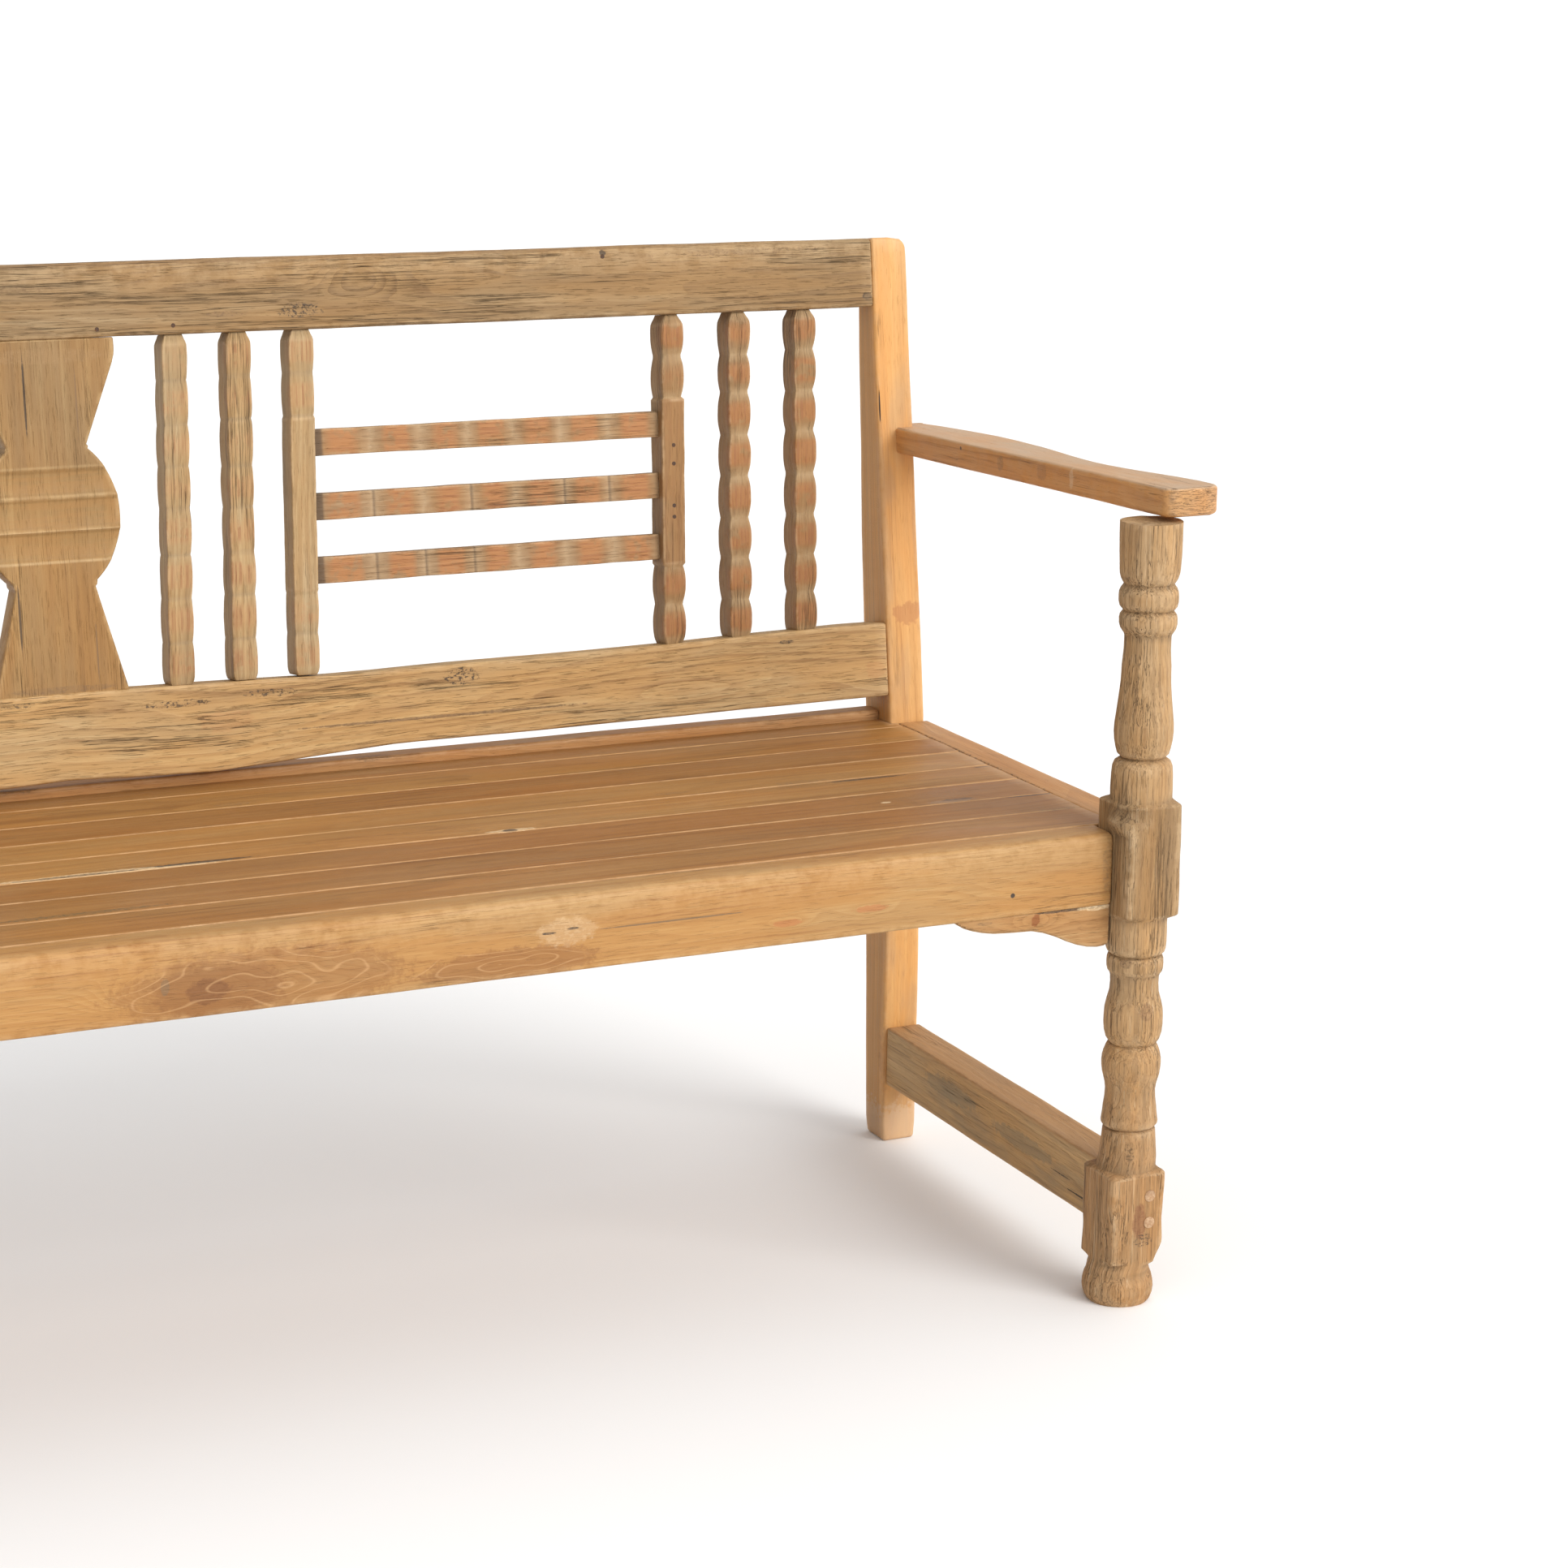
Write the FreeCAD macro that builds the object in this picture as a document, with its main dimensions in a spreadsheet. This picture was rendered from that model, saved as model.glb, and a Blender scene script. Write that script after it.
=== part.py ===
import FreeCAD, Part
import math
import os
import Sketcher

# Garden bench in reclaimed teak: turned front legs, raked back posts, a beaded spindle back with a
# shaped centre splat, a planked seat and scooped arms. X runs along the bench, Y from front to back
# and Z up. The origin is on the floor, in the middle of the bench's outline.

os.makedirs("parts", exist_ok=True)
doc = FreeCAD.newDocument("GardenBench")

DIMENSIONS = [
    # overall
    ("leg_spacing", 1718, "between the axes of the two front legs"),
    ("seat_height", 450, "floor to the top of the seat planks"),
    ("seat_depth", 464, "front leg axis to the front of the back posts"),
    ("arm_rise", 312, "seat to the top of the arm over the front leg"),
    ("recline", 7.5, "lean of the back, degrees from upright"),
    ("back_length", 489, "back, measured up its slope from the seat"),
    ("fit_gap", 0.3, "clearance around tenons and between neighbouring boards"),
    # front legs
    ("block_width", 58, "square blocks of the front leg"),
    ("upper_block_rise", 30, "upper block above the seat"),
    ("upper_block_height", 110, "upper block, top to bottom"),
    ("lower_block_base", 38, "floor to the underside of the lower block"),
    ("lower_block_height", 92, "lower block, top to bottom"),
    ("turned_radius", 27, "largest radius of the turned work"),
    ("neck_radius", 21, "smallest radius of the turned necks"),
    ("foot_radius", 33, "bun foot"),
    ("foot_inset", 6, "bun foot towards the middle of the bench"),
    ("leg_peg_radius", 12, "round tenon into the arm"),
    ("leg_peg_length", 14, "round tenon into the arm"),
    # back posts
    ("post_width", 39, "along the bench"),
    ("post_outset", 3.5, "middle of the post outside the front leg axis"),
    ("post_foot_depth", 39, "front to back at the floor"),
    ("post_knee_depth", 57, "front to back at the seat"),
    ("post_top_depth", 33, "front to back at the top"),
    ("post_corner", 12, "rounded outer corner on top"),
    # back rails
    ("top_rail_height", 68, "along the slope"),
    ("lower_rail_base", 26.5, "seat to the lower rail, along the slope"),
    ("lower_rail_height", 71.5, "along the slope"),
    ("back_rail_thickness", 32, "top and lower rails"),
    # splat, spindles and lattice
    ("splat_foot", 62, "half width at the lower rail"),
    ("splat_waist", 36, "half width at the two waists"),
    ("splat_head", 68, "half width at the top rail"),
    ("splat_belly", 65.5, "half width of the round middle"),
    ("splat_thickness", 30, "front to back"),
    ("splat_lower_waist", 101, "above the lower rail"),
    ("splat_upper_waist", 98, "below the top rail"),
    ("flute_pitch", 28, "between the ridges of the belly's flutes"),
    ("spindle_width", 24, "along the bench"),
    ("spindle_depth", 29, "front to back"),
    ("spindle_lean", 13, "how far each spindle's top stands outside its foot"),
    ("inner_spindle", 112, "foot of the first spindle from the middle"),
    ("spindle_pitch", 60.5, "between the feet of the inner three spindles"),
    ("outer_spindle", 610.5, "foot of the fourth spindle from the middle"),
    ("outer_pitch", 72, "between the feet of the outer three spindles"),
    ("bead_depth", 2, "height of each carved bead"),
    ("panel_setback", 2, "splat and spindles behind the face of the rails"),
    ("flute_depth", 2.2, "flutes of the splat's belly"),
    ("plain_base", 80, "plain part of the lattice spindles, above the lower rail"),
    ("plain_head", 81, "plain part of the lattice spindles, below the top rail"),
    ("lattice_height", 25, "lattice rails"),
    ("lattice_thickness", 18, "lattice rails"),
    ("lattice_setback", 8, "behind the plain part's face"),
    ("lattice_clear_low", 4.5, "clear space below the lattice, for each 35 between its rails"),
    ("lattice_clear", 35, "clear space between two lattice rails"),
    ("lattice_clear_high", 12.5, "clear space above the lattice, for each 35 between its rails"),
    # seat
    ("apron_height", 67, "front and side rails"),
    ("apron_thickness", 36, "front rail"),
    ("apron_lap", 3, "back of the front rail behind the back of the leg block"),
    ("side_rail_thickness", 34, "along the bench"),
    ("side_rail_outset", 9.3, "middle of the side rail outside the front leg axis"),
    ("back_rail_setback", 25, "seat back rail behind the front of the posts"),
    ("back_rail_depth", 24, "seat back rail, front to back"),
    ("back_rail_rise", 9, "seat back rail above the planks"),
    ("plank_thickness", 20, "seat planks"),
    ("plank_edge", 1.2, "eased edges of boards"),
    ("bearer_width", 40, "along the bench"),
    ("bearer_height", 34, "under the planks"),
    ("bearer_spacing", 520, "between the middles of the bearers"),
    # arms
    ("arm_thickness", 25.5, "top to bottom"),
    ("arm_slope", 1.8, "fall of the arm towards the back, degrees"),
    ("arm_inset", 3, "front leg axis to the inner edge of the arm, outwards"),
    ("arm_front_width", 60, "at the front leg"),
    ("arm_waist_width", 44, "at the narrowest place"),
    ("arm_swell_width", 62, "near the back post"),
    ("arm_overhang", 21, "front edge before the front leg axis"),
    ("arm_lap", 22, "beside the back post"),
    # lower side stretchers and apron brackets
    ("stretcher_base", 63, "floor to the underside"),
    ("stretcher_height", 62, "side stretcher"),
    ("stretcher_thickness", 38, "side stretcher"),
    ("stretcher_outset", 6, "middle of the stretcher outside the front leg axis"),
    ("bracket_length", 157, "from the leg block along the apron"),
    ("bracket_height", 39, "at the leg"),
    ("bracket_thickness", 24, "front to back"),
    # fixings
    ("tenon_length", 20, "all rail tenons"),
    ("tenon_thickness", 14, "all rail tenons"),
    ("small_tenon", 10, "length of splat, spindle and lattice tenons"),
    ("plug_radius", 5.5, "plugs over the stretcher screws"),
    ("plug_length", 8, "plugs over the stretcher screws"),
    ("plug_pitch", 26, "between the two plugs of a leg"),
    ("screw_radius", 2.5, "screw shanks"),
    ("stretcher_screw", 65, "length of the stretcher screws"),
    ("bearer_screw", 44, "length of the bearer screws"),
    ("nail_radius", 2, "nail heads"),
    ("nail_length", 22, "nails"),
]

sheet = doc.addObject("Spreadsheet::Sheet", "Sizes")
for row, (alias, value, note) in enumerate(DIMENSIONS, start=1):
    sheet.set("A%d" % row, note)
    sheet.set("B%d" % row, str(value))
    sheet.setAlias("B%d" % row, alias)
doc.recompute()


class Size:
    """A size worked out from the sheet: the expression that binds it, and its value now."""

    def __init__(self, text, value):
        self.text = text
        self.value = value

    def __add__(self, other):
        return Size("(%s + %s)" % (self.text, size(other).text), self.value + size(other).value)

    def __sub__(self, other):
        return Size("(%s - %s)" % (self.text, size(other).text), self.value - size(other).value)

    def __mul__(self, other):
        return Size("(%s * %s)" % (self.text, size(other).text), self.value * size(other).value)

    def __truediv__(self, other):
        return Size("(%s / %s)" % (self.text, size(other).text), self.value / size(other).value)

    def __neg__(self):
        return Size("(0 - %s)" % self.text, -self.value)

    def __radd__(self, other):
        return size(other) + self

    def __rsub__(self, other):
        return size(other) - self

    def __rmul__(self, other):
        return size(other) * self


def size(number):
    """A plain number as a Size; a Size stays as it is."""
    if isinstance(number, Size):
        return number
    return Size("(%.6f)" % number, float(number))


def sine(angle):
    return Size("sin(%s)" % angle.text, math.sin(math.radians(angle.value)))


def cosine(angle):
    return Size("cos(%s)" % angle.text, math.cos(math.radians(angle.value)))


S = {alias: Size("Sizes." + alias, float(value)) for alias, value, note in DIMENSIONS}

# ---- places that several pieces share, measured from the front leg axis and the floor
leg_x = S["leg_spacing"] / 2
half_block = S["block_width"] / 2
seat = S["seat_height"]
rail_base = seat - S["apron_height"]
post_front = S["seat_depth"]
post_x = leg_x + S["post_outset"]
post_inner = post_x - S["post_width"] / 2
lean_sine = sine(S["recline"])
lean_cosine = cosine(S["recline"])
post_reach = S["back_length"] * lean_sine + S["post_top_depth"] * lean_cosine
middle_y = (post_front + post_reach - S["foot_radius"]) / 2
lower_rail_top = S["lower_rail_base"] + S["lower_rail_height"]
top_rail_base = S["back_length"] - S["top_rail_height"]
panel_height = top_rail_base - lower_rail_top
plain_top = panel_height - S["plain_head"]
upper_block_top = seat + S["upper_block_rise"]
upper_block_base = upper_block_top - S["upper_block_height"]
lower_block_top = S["lower_block_base"] + S["lower_block_height"]
arm_top = seat + S["arm_rise"]
arm_base = arm_top - S["arm_thickness"]
gap = S["fit_gap"]


def bind(item, path, value):
    item.setExpression(path, size(value).text)


def place(item, x, y, z, tilt=None):
    """Puts an object at x, y, z, turned about X so that its upright axis leans back by tilt."""
    if tilt is not None:
        item.Placement.Rotation = FreeCAD.Rotation(FreeCAD.Vector(1, 0, 0), -tilt.value)
        item.setExpression("Placement.Rotation.Angle", "%s * 1 deg" % tilt.text)
        item.Placement.Rotation = FreeCAD.Rotation(FreeCAD.Vector(-1, 0, 0), tilt.value)
    bind(item, "Placement.Base.x", x)
    bind(item, "Placement.Base.y", y - middle_y)
    bind(item, "Placement.Base.z", z)


def place_on_back(item, x, depth, height):
    """Puts an object on the back's slope: depth behind its face, height up from the seat."""
    y = post_front + depth * lean_cosine + height * lean_sine
    z = seat - depth * lean_sine + height * lean_cosine
    place(item, x, y, z, S["recline"])


def box(length, width, height):
    item = doc.addObject("Part::Box", "Box")
    bind(item, "Length", length)
    bind(item, "Width", width)
    bind(item, "Height", height)
    return item


def cylinder(radius, height):
    item = doc.addObject("Part::Cylinder", "Cylinder")
    bind(item, "Radius", radius)
    bind(item, "Height", height)
    return item


def origin_plane(body, role):
    return [feature for feature in body.Origin.OriginFeatures if feature.Role == role][0]


def draw_outline(body, plane, points):
    """Closed sketch. Each point is (a, b, bulge): bulge bends the edge that leaves it outwards, for
    points that run counter-clockwise, or inwards where it is negative."""
    sketch = body.newObject("Sketcher::SketchObject", "Outline")
    sketch.AttachmentSupport = [(origin_plane(body, plane), "")]
    sketch.MapMode = "FlatFace"
    ends = []
    for index, (a, b, bulge) in enumerate(points):
        next_a, next_b = points[(index + 1) % len(points)][:2]
        start = FreeCAD.Vector(size(a).value, size(b).value, 0)
        stop = FreeCAD.Vector(size(next_a).value, size(next_b).value, 0)
        rise = size(bulge)
        if rise.value == 0:
            edge = sketch.addGeometry(Part.LineSegment(start, stop), False)
            ends.append((edge, 1, 2))
            continue
        chord = stop - start
        depth = abs(rise.value)
        radius = (chord.Length ** 2 / 4 + depth ** 2) / (2 * depth)
        outward = FreeCAD.Vector(chord.y, -chord.x, 0).normalize() * (1 if rise.value > 0 else -1)
        centre = (start + stop) / 2 - outward * (radius - depth)
        first, last = (start, stop) if rise.value > 0 else (stop, start)
        first_angle = math.atan2(first.y - centre.y, first.x - centre.x)
        last_angle = math.atan2(last.y - centre.y, last.x - centre.x)
        if last_angle < first_angle:
            last_angle += 2 * math.pi
        circle = Part.Circle(centre, FreeCAD.Vector(0, 0, 1), radius)
        edge = sketch.addGeometry(Part.ArcOfCircle(circle, first_angle, last_angle), False)
        ends.append((edge, 1, 2) if rise.value > 0 else (edge, 2, 1))
        run_a = size(next_a) - a
        run_b = size(next_b) - b
        chord_squared = run_a * run_a + run_b * run_b
        bulge_size = rise if rise.value > 0 else -rise
        arc_radius = (chord_squared / 4 + bulge_size * bulge_size) / (2 * bulge_size)
        number = sketch.addConstraint(Sketcher.Constraint("Radius", edge, radius))
        sketch.setExpression("Constraints[%d]" % number, arc_radius.text)
    for index, (a, b, bulge) in enumerate(points):
        edge, first_end, last_end = ends[index]
        before, before_first, before_last = ends[index - 1]
        sketch.addConstraint(Sketcher.Constraint("Coincident", before, before_last, edge, first_end))
        for kind, value in (("DistanceX", size(a)), ("DistanceY", size(b))):
            rule = Sketcher.Constraint(kind, -1, 1, edge, first_end, value.value)
            number = sketch.addConstraint(rule)
            sketch.setExpression("Constraints[%d]" % number, value.text)
    return sketch


def pad_outline(body, plane, points, thickness, backwards=False):
    pad = body.newObject("PartDesign::Pad", "Pad")
    pad.Profile = draw_outline(body, plane, points)
    bind(pad, "Length", thickness)
    pad.Reversed = backwards
    body.Tip = pad
    return pad


def new_body(name):
    return doc.addObject("PartDesign::Body", name + "_body")


def board(name, length, width, height, eased=False):
    """Rectangular board: length along X, width along Y, height along Z, from its own corner."""
    body = new_body(name)
    corners = [(0, 0, 0), (length, 0, 0), (length, width, 0), (0, width, 0)]
    pad = pad_outline(body, "XY_Plane", corners, height)
    if eased:
        doc.recompute()
        top = [
            "Edge%d" % number
            for number, edge in enumerate(pad.Shape.Edges, start=1)
            if all(abs(vertex.Z - size(height).value) < 0.001 for vertex in edge.Vertexes)
        ]
        chamfer = body.newObject("PartDesign::Chamfer", "EasedEdges")
        chamfer.Base = (pad, top)
        bind(chamfer, "Size", S["plank_edge"])
        body.Tip = chamfer
    return body


tenons = {}
mortises = {}


def mirrored_corner(sides, corner):
    return (-(size(corner[0]) + sides[0]), corner[1], corner[2])


def joint(male, female, sides, corner, on_back=False):
    """A tenon of the male piece and the mortise that takes it in the female piece. Where one of the
    two pieces spans the bench, that one gets the same again on the left."""
    put = place_on_back if on_back else place
    spans_male = "right" not in male
    spans_female = "right" not in female
    tenon_corners = [corner]
    mortise_corners = [corner]
    if spans_male and not spans_female:
        tenon_corners.append(mirrored_corner(sides, corner))
    if spans_female and not spans_male:
        mortise_corners.append(mirrored_corner(sides, corner))
    for tenon_corner in tenon_corners:
        tenon = box(*sides)
        put(tenon, *[size(value) for value in tenon_corner])
        tenons.setdefault(male, []).append(tenon)
    for mortise_corner in mortise_corners:
        mortise = box(*[side + 2 * gap for side in sides])
        put(mortise, *[size(value) - gap for value in mortise_corner])
        mortises.setdefault(female, []).append(mortise)


def drill(piece_name, tool):
    mortises.setdefault(piece_name, []).append(tool)


pieces = {}


def finish(name, base):
    """Adds the piece's tenons, cuts its mortises and gives it its name."""
    result = base
    if name in tenons:
        result = doc.addObject("Part::MultiFuse", "WithTenons")
        result.Shapes = [base] + tenons[name]
        result.Refine = True
    for tool in mortises.get(name, []):
        cut = doc.addObject("Part::Cut", "Cut")
        cut.Base = result
        cut.Tool = tool
        result = cut
    result.Label = name
    pieces[name] = result
    return result


def mirror(name, source):
    """The left-hand twin of a right-hand piece."""
    twin = doc.addObject("Part::Mirroring", "Mirror")
    twin.Source = source
    twin.Normal = (1, 0, 0)
    twin.Base = (0, 0, 0)
    twin.Label = name
    pieces[name] = twin


# ---- front leg: one length of teak, turned between and below its square blocks
def front_leg():
    radius = S["turned_radius"]
    neck = S["neck_radius"]
    foot = S["foot_radius"]
    base = S["lower_block_base"]
    lower_span = upper_block_base - lower_block_top
    upper_span = arm_top - upper_block_top
    # height as a share of the turned length, radius, bulge of the stretch above
    lower_turning = [
        (0.00, radius - 1, -1.0), (0.16, radius - 3, 0), (0.17, neck + 1, 0), (0.18, radius - 3, 2.2),
        (0.25, radius - 3, 0), (0.26, neck + 1.5, -2.5), (0.42, radius - 0.5, 2.4), (0.495, neck + 1, 0),
        (0.51, neck + 1, 2.6), (0.60, radius, -1.0), (0.76, neck + 0.5, 0), (0.78, radius - 2, 2.0),
        (0.84, radius - 3, 0), (0.85, neck + 1, 0), (0.86, radius - 3, 2.0), (0.91, radius, 0),
    ]
    upper_turning = [
        (0.00, radius, 0.8), (0.11, radius, 2.0), (0.135, neck - 1, 0), (0.145, neck - 1, 3.4),
        (0.23, radius - 0.5, -1.6), (0.50, neck, 0), (0.555, neck, -1.0), (0.565, radius - 3, 2.0),
        (0.61, radius - 3, 0), (0.62, radius - 3, 2.6), (0.695, radius - 3, 0), (0.705, neck + 2, 0),
        (0.715, radius - 3, 1.4), (0.75, radius, 0),
    ]
    bun_neck = foot - 6
    bun = [(0, 0, 0), (bun_neck, 0, 1.5), (foot, 15, 1.5), (bun_neck, 30, 0), (bun_neck, base + 1, 0)]
    shaft = [(0, base + 0.5, 0)]
    shaft += [(r, lower_block_top + share * lower_span - (0.5 if share == 0 else 0), bulge)
              for share, r, bulge in lower_turning]
    shaft += [(radius, upper_block_base + 1, 0)]
    shaft += [(r, upper_block_top + share * upper_span - (1 if share == 0 else 0), bulge)
              for share, r, bulge in upper_turning]
    shaft += [(radius + 1, arm_top, 0), (0, arm_top, 0)]
    turned = new_body("leg_turning")
    revolve(turned, shaft)
    place(turned, leg_x, size(0), size(0))
    foot_body = new_body("leg_foot")
    revolve(foot_body, bun + [(0, base + 1, 0)])
    place(foot_body, leg_x - S["foot_inset"], size(0), size(0))
    upper = board("upper_block", S["block_width"], S["block_width"], S["upper_block_height"], True)
    place(upper, leg_x - half_block, -half_block, upper_block_base)
    lower = board("lower_block", S["block_width"], S["block_width"], S["lower_block_height"], True)
    place(lower, leg_x - half_block - S["foot_inset"] / 2, -half_block, S["lower_block_base"])
    whole = doc.addObject("Part::MultiFuse", "LegBlank")
    whole.Shapes = [turned, foot_body, upper, lower]
    whole.Refine = True
    return whole


def revolve(body, profile):
    """Turns a half outline, drawn as radius and height, about the upright axis."""
    turn = body.newObject("PartDesign::Revolution", "Turned")
    sketch = draw_outline(body, "XZ_Plane", profile)
    turn.Profile = sketch
    turn.ReferenceAxis = (sketch, ["V_Axis"])
    turn.Angle = 360
    body.Tip = turn


leg_peg_root = 10

# the arm's underside trims the leg, and the leg's round tenon goes up into the arm
above_leg = box(S["block_width"] * 2, S["block_width"] * 2, S["arm_thickness"] * 2)
place(above_leg, leg_x - S["block_width"], -S["block_width"] * cosine(S["arm_slope"]),
      arm_base + S["block_width"] * sine(S["arm_slope"]), S["arm_slope"])
leg_trimmed = doc.addObject("Part::Cut", "LegTrimmed")
leg_trimmed.Base = front_leg()
leg_trimmed.Tool = above_leg
leg_peg = cylinder(S["leg_peg_radius"], S["leg_peg_length"] + leg_peg_root)
place(leg_peg, leg_x, size(0), arm_base - leg_peg_root)
peg_hole = cylinder(S["leg_peg_radius"] + gap, S["leg_peg_length"] + leg_peg_root + gap)
place(peg_hole, leg_x, size(0), arm_base - leg_peg_root)
tenons["front_leg_right"] = [leg_peg]
drill("armrest_right", peg_hole)


# ---- back post: upright to the seat, then raked back and tapering
def back_post():
    body = new_body("back_post")
    top_y = S["back_length"] * lean_sine
    top_z = seat + S["back_length"] * lean_cosine
    back_y = top_y + S["post_top_depth"] * lean_cosine
    back_z = top_z - S["post_top_depth"] * lean_sine
    side = [
        (0, 0, 0), (S["post_foot_depth"], 0, 0), (S["post_knee_depth"], seat - 30, 0),
        (S["post_knee_depth"] + 8, seat + 80, 0), (back_y, back_z, 0), (top_y, top_z, 0), (0, seat, 0),
    ]
    pad = pad_outline(body, "YZ_Plane", side, S["post_width"])
    doc.recompute()
    outer = S["post_width"].value
    corner = [
        "Edge%d" % number
        for number, edge in enumerate(pad.Shape.Edges, start=1)
        if all(abs(v.X - outer) < 0.001 and v.Z > back_z.value - 0.001 for v in edge.Vertexes)
    ]
    fillet = body.newObject("PartDesign::Fillet", "TopCorner")
    fillet.Base = (pad, corner)
    bind(fillet, "Radius", S["post_corner"])
    body.Tip = fillet
    place(body, post_inner, post_front, size(0))
    return body


# ---- arm: flat board with a straight inner edge and a waisted outer edge
def arm():
    body = new_body("armrest")
    back = post_front + S["arm_rise"] * lean_sine / lean_cosine
    inner = S["arm_inset"]
    front = -S["arm_overhang"]
    swell = inner + S["arm_swell_width"]
    waist = inner + S["arm_waist_width"]
    nose = inner + S["arm_front_width"]
    plan = [
        (inner, front + 12, 3.5), (inner + 12, front, 1.5), (nose - 16, front, 5.5),
        (nose, front + 24, 2.0), (nose, front + 84, -1.5), (waist, back * 0.36, -1.5),
        (swell - 6, back * 0.58, 3.0), (swell - 10, back - 50, 3.0),
        (inner + 44, back + S["arm_lap"], 0), (inner, back + S["arm_lap"], 0),
    ]
    pad_outline(body, "XY_Plane", plan, S["arm_thickness"])
    place(body, leg_x, size(0), arm_base, S["arm_slope"])
    return body


finish_later = {"back_post_right": back_post(), "armrest_right": arm(), "front_leg_right": leg_trimmed}

# the arm butts against the post's face and laps its outer side
post_room = box(S["post_width"] + 20 + gap, S["post_knee_depth"] * 2, S["arm_rise"])
place_on_back(post_room, post_inner - 20, size(0), S["arm_rise"] / 2)
drill("armrest_right", post_room)
arm_middle = (S["arm_rise"] - S["arm_thickness"] / 2 - post_front * sine(S["arm_slope"])) / lean_cosine
arm_tenon_width = 10
arm_tenon_root = 4
joint("armrest_right", "back_post_right",
      (size(arm_tenon_width), S["small_tenon"] + arm_tenon_root, size(arm_tenon_width)),
      (post_x + S["post_width"] / 2 - arm_tenon_width - 4, size(-arm_tenon_root),
       arm_middle - arm_tenon_width / 2), True)


# ---- back rails: boards between the posts, tenoned into them, faces flush with the posts
rail_shoulder = 10


def back_rail(name, base, height):
    body = board(name, post_inner * 2, S["back_rail_thickness"], height, True)
    place_on_back(body, -post_inner, size(0), base)
    finish_later[name] = body
    joint(name, "back_post_right",
          (S["tenon_length"], S["tenon_thickness"], height - 2 * rail_shoulder),
          (post_inner, S["back_rail_thickness"] / 2 - S["tenon_thickness"] / 2, base + rail_shoulder),
          True)


back_rail("top_rail", top_rail_base, S["top_rail_height"])
back_rail("lower_back_rail", S["lower_rail_base"], S["lower_rail_height"])


def panel_tenons(name, bottom_x, top_x, width, depth, panel_depth):
    """Tenons of an upright back piece into the lower and the top rail."""
    behind = S["panel_setback"] + panel_depth / 2 - depth / 2
    joint(name, "lower_back_rail", (width, depth, S["small_tenon"]),
          (bottom_x - width / 2, behind, lower_rail_top - S["small_tenon"]), True)
    joint(name, "top_rail", (width, depth, S["small_tenon"]),
          (top_x - width / 2, behind, top_rail_base), True)


# ---- centre splat: hourglass board with a round, fluted belly
def centre_splat():
    body = new_body("centre_splat")
    foot, waist, head = S["splat_foot"], S["splat_waist"], S["splat_head"]
    low, high, top = S["splat_lower_waist"], panel_height - S["splat_upper_waist"], panel_height
    belly = S["splat_belly"] - waist
    brow = 13
    front = [
        (-foot, 0, 0), (foot, 0, 0), (waist, low, belly), (waist, high, -1.5), (head, top - brow, 0),
        (head, top, 0), (-head, top, 0), (-head, top - brow, -1.5), (-waist, high, belly),
        (-waist, low, 0),
    ]
    pad_outline(body, "XZ_Plane", front, S["splat_thickness"], True)
    ridge = 2
    middle = (low + high) / 2
    comb = [(-1, middle - S["flute_pitch"] * 1.5, 0)]
    for number in (-1.5, -0.5, 0.5):
        base = middle + S["flute_pitch"] * number
        comb += [(0, base, S["flute_depth"]), (0, base + S["flute_pitch"] - ridge, 0)]
    comb.append((-1, middle + S["flute_pitch"] * 1.5 - ridge, 0))
    pocket = body.newObject("PartDesign::Pocket", "Flutes")
    pocket.Profile = draw_outline(body, "YZ_Plane", comb)
    pocket.SideType = "Symmetric"
    bind(pocket, "Length", S["splat_belly"] * 2 + 20)
    body.Tip = pocket
    place_on_back(body, size(0), S["panel_setback"], lower_rail_top)
    return body


finish_later["centre_splat"] = centre_splat()
panel_tenons("centre_splat", size(0), size(0), S["splat_waist"] * 2, size(12), S["splat_thickness"])


# ---- spindles: square bars carved into beads, four a side with beads all along and two with a
# plain middle that takes the lattice rails
def bead_row(first, last, count):
    """Heights where the notches of a run of beads lie."""
    return [first + (last - first) * (number / count) for number in range(count + 1)]


def common_of(first, second):
    item = doc.addObject("Part::MultiCommon", "Common")
    item.Shapes = [first, second]
    return item


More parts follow.
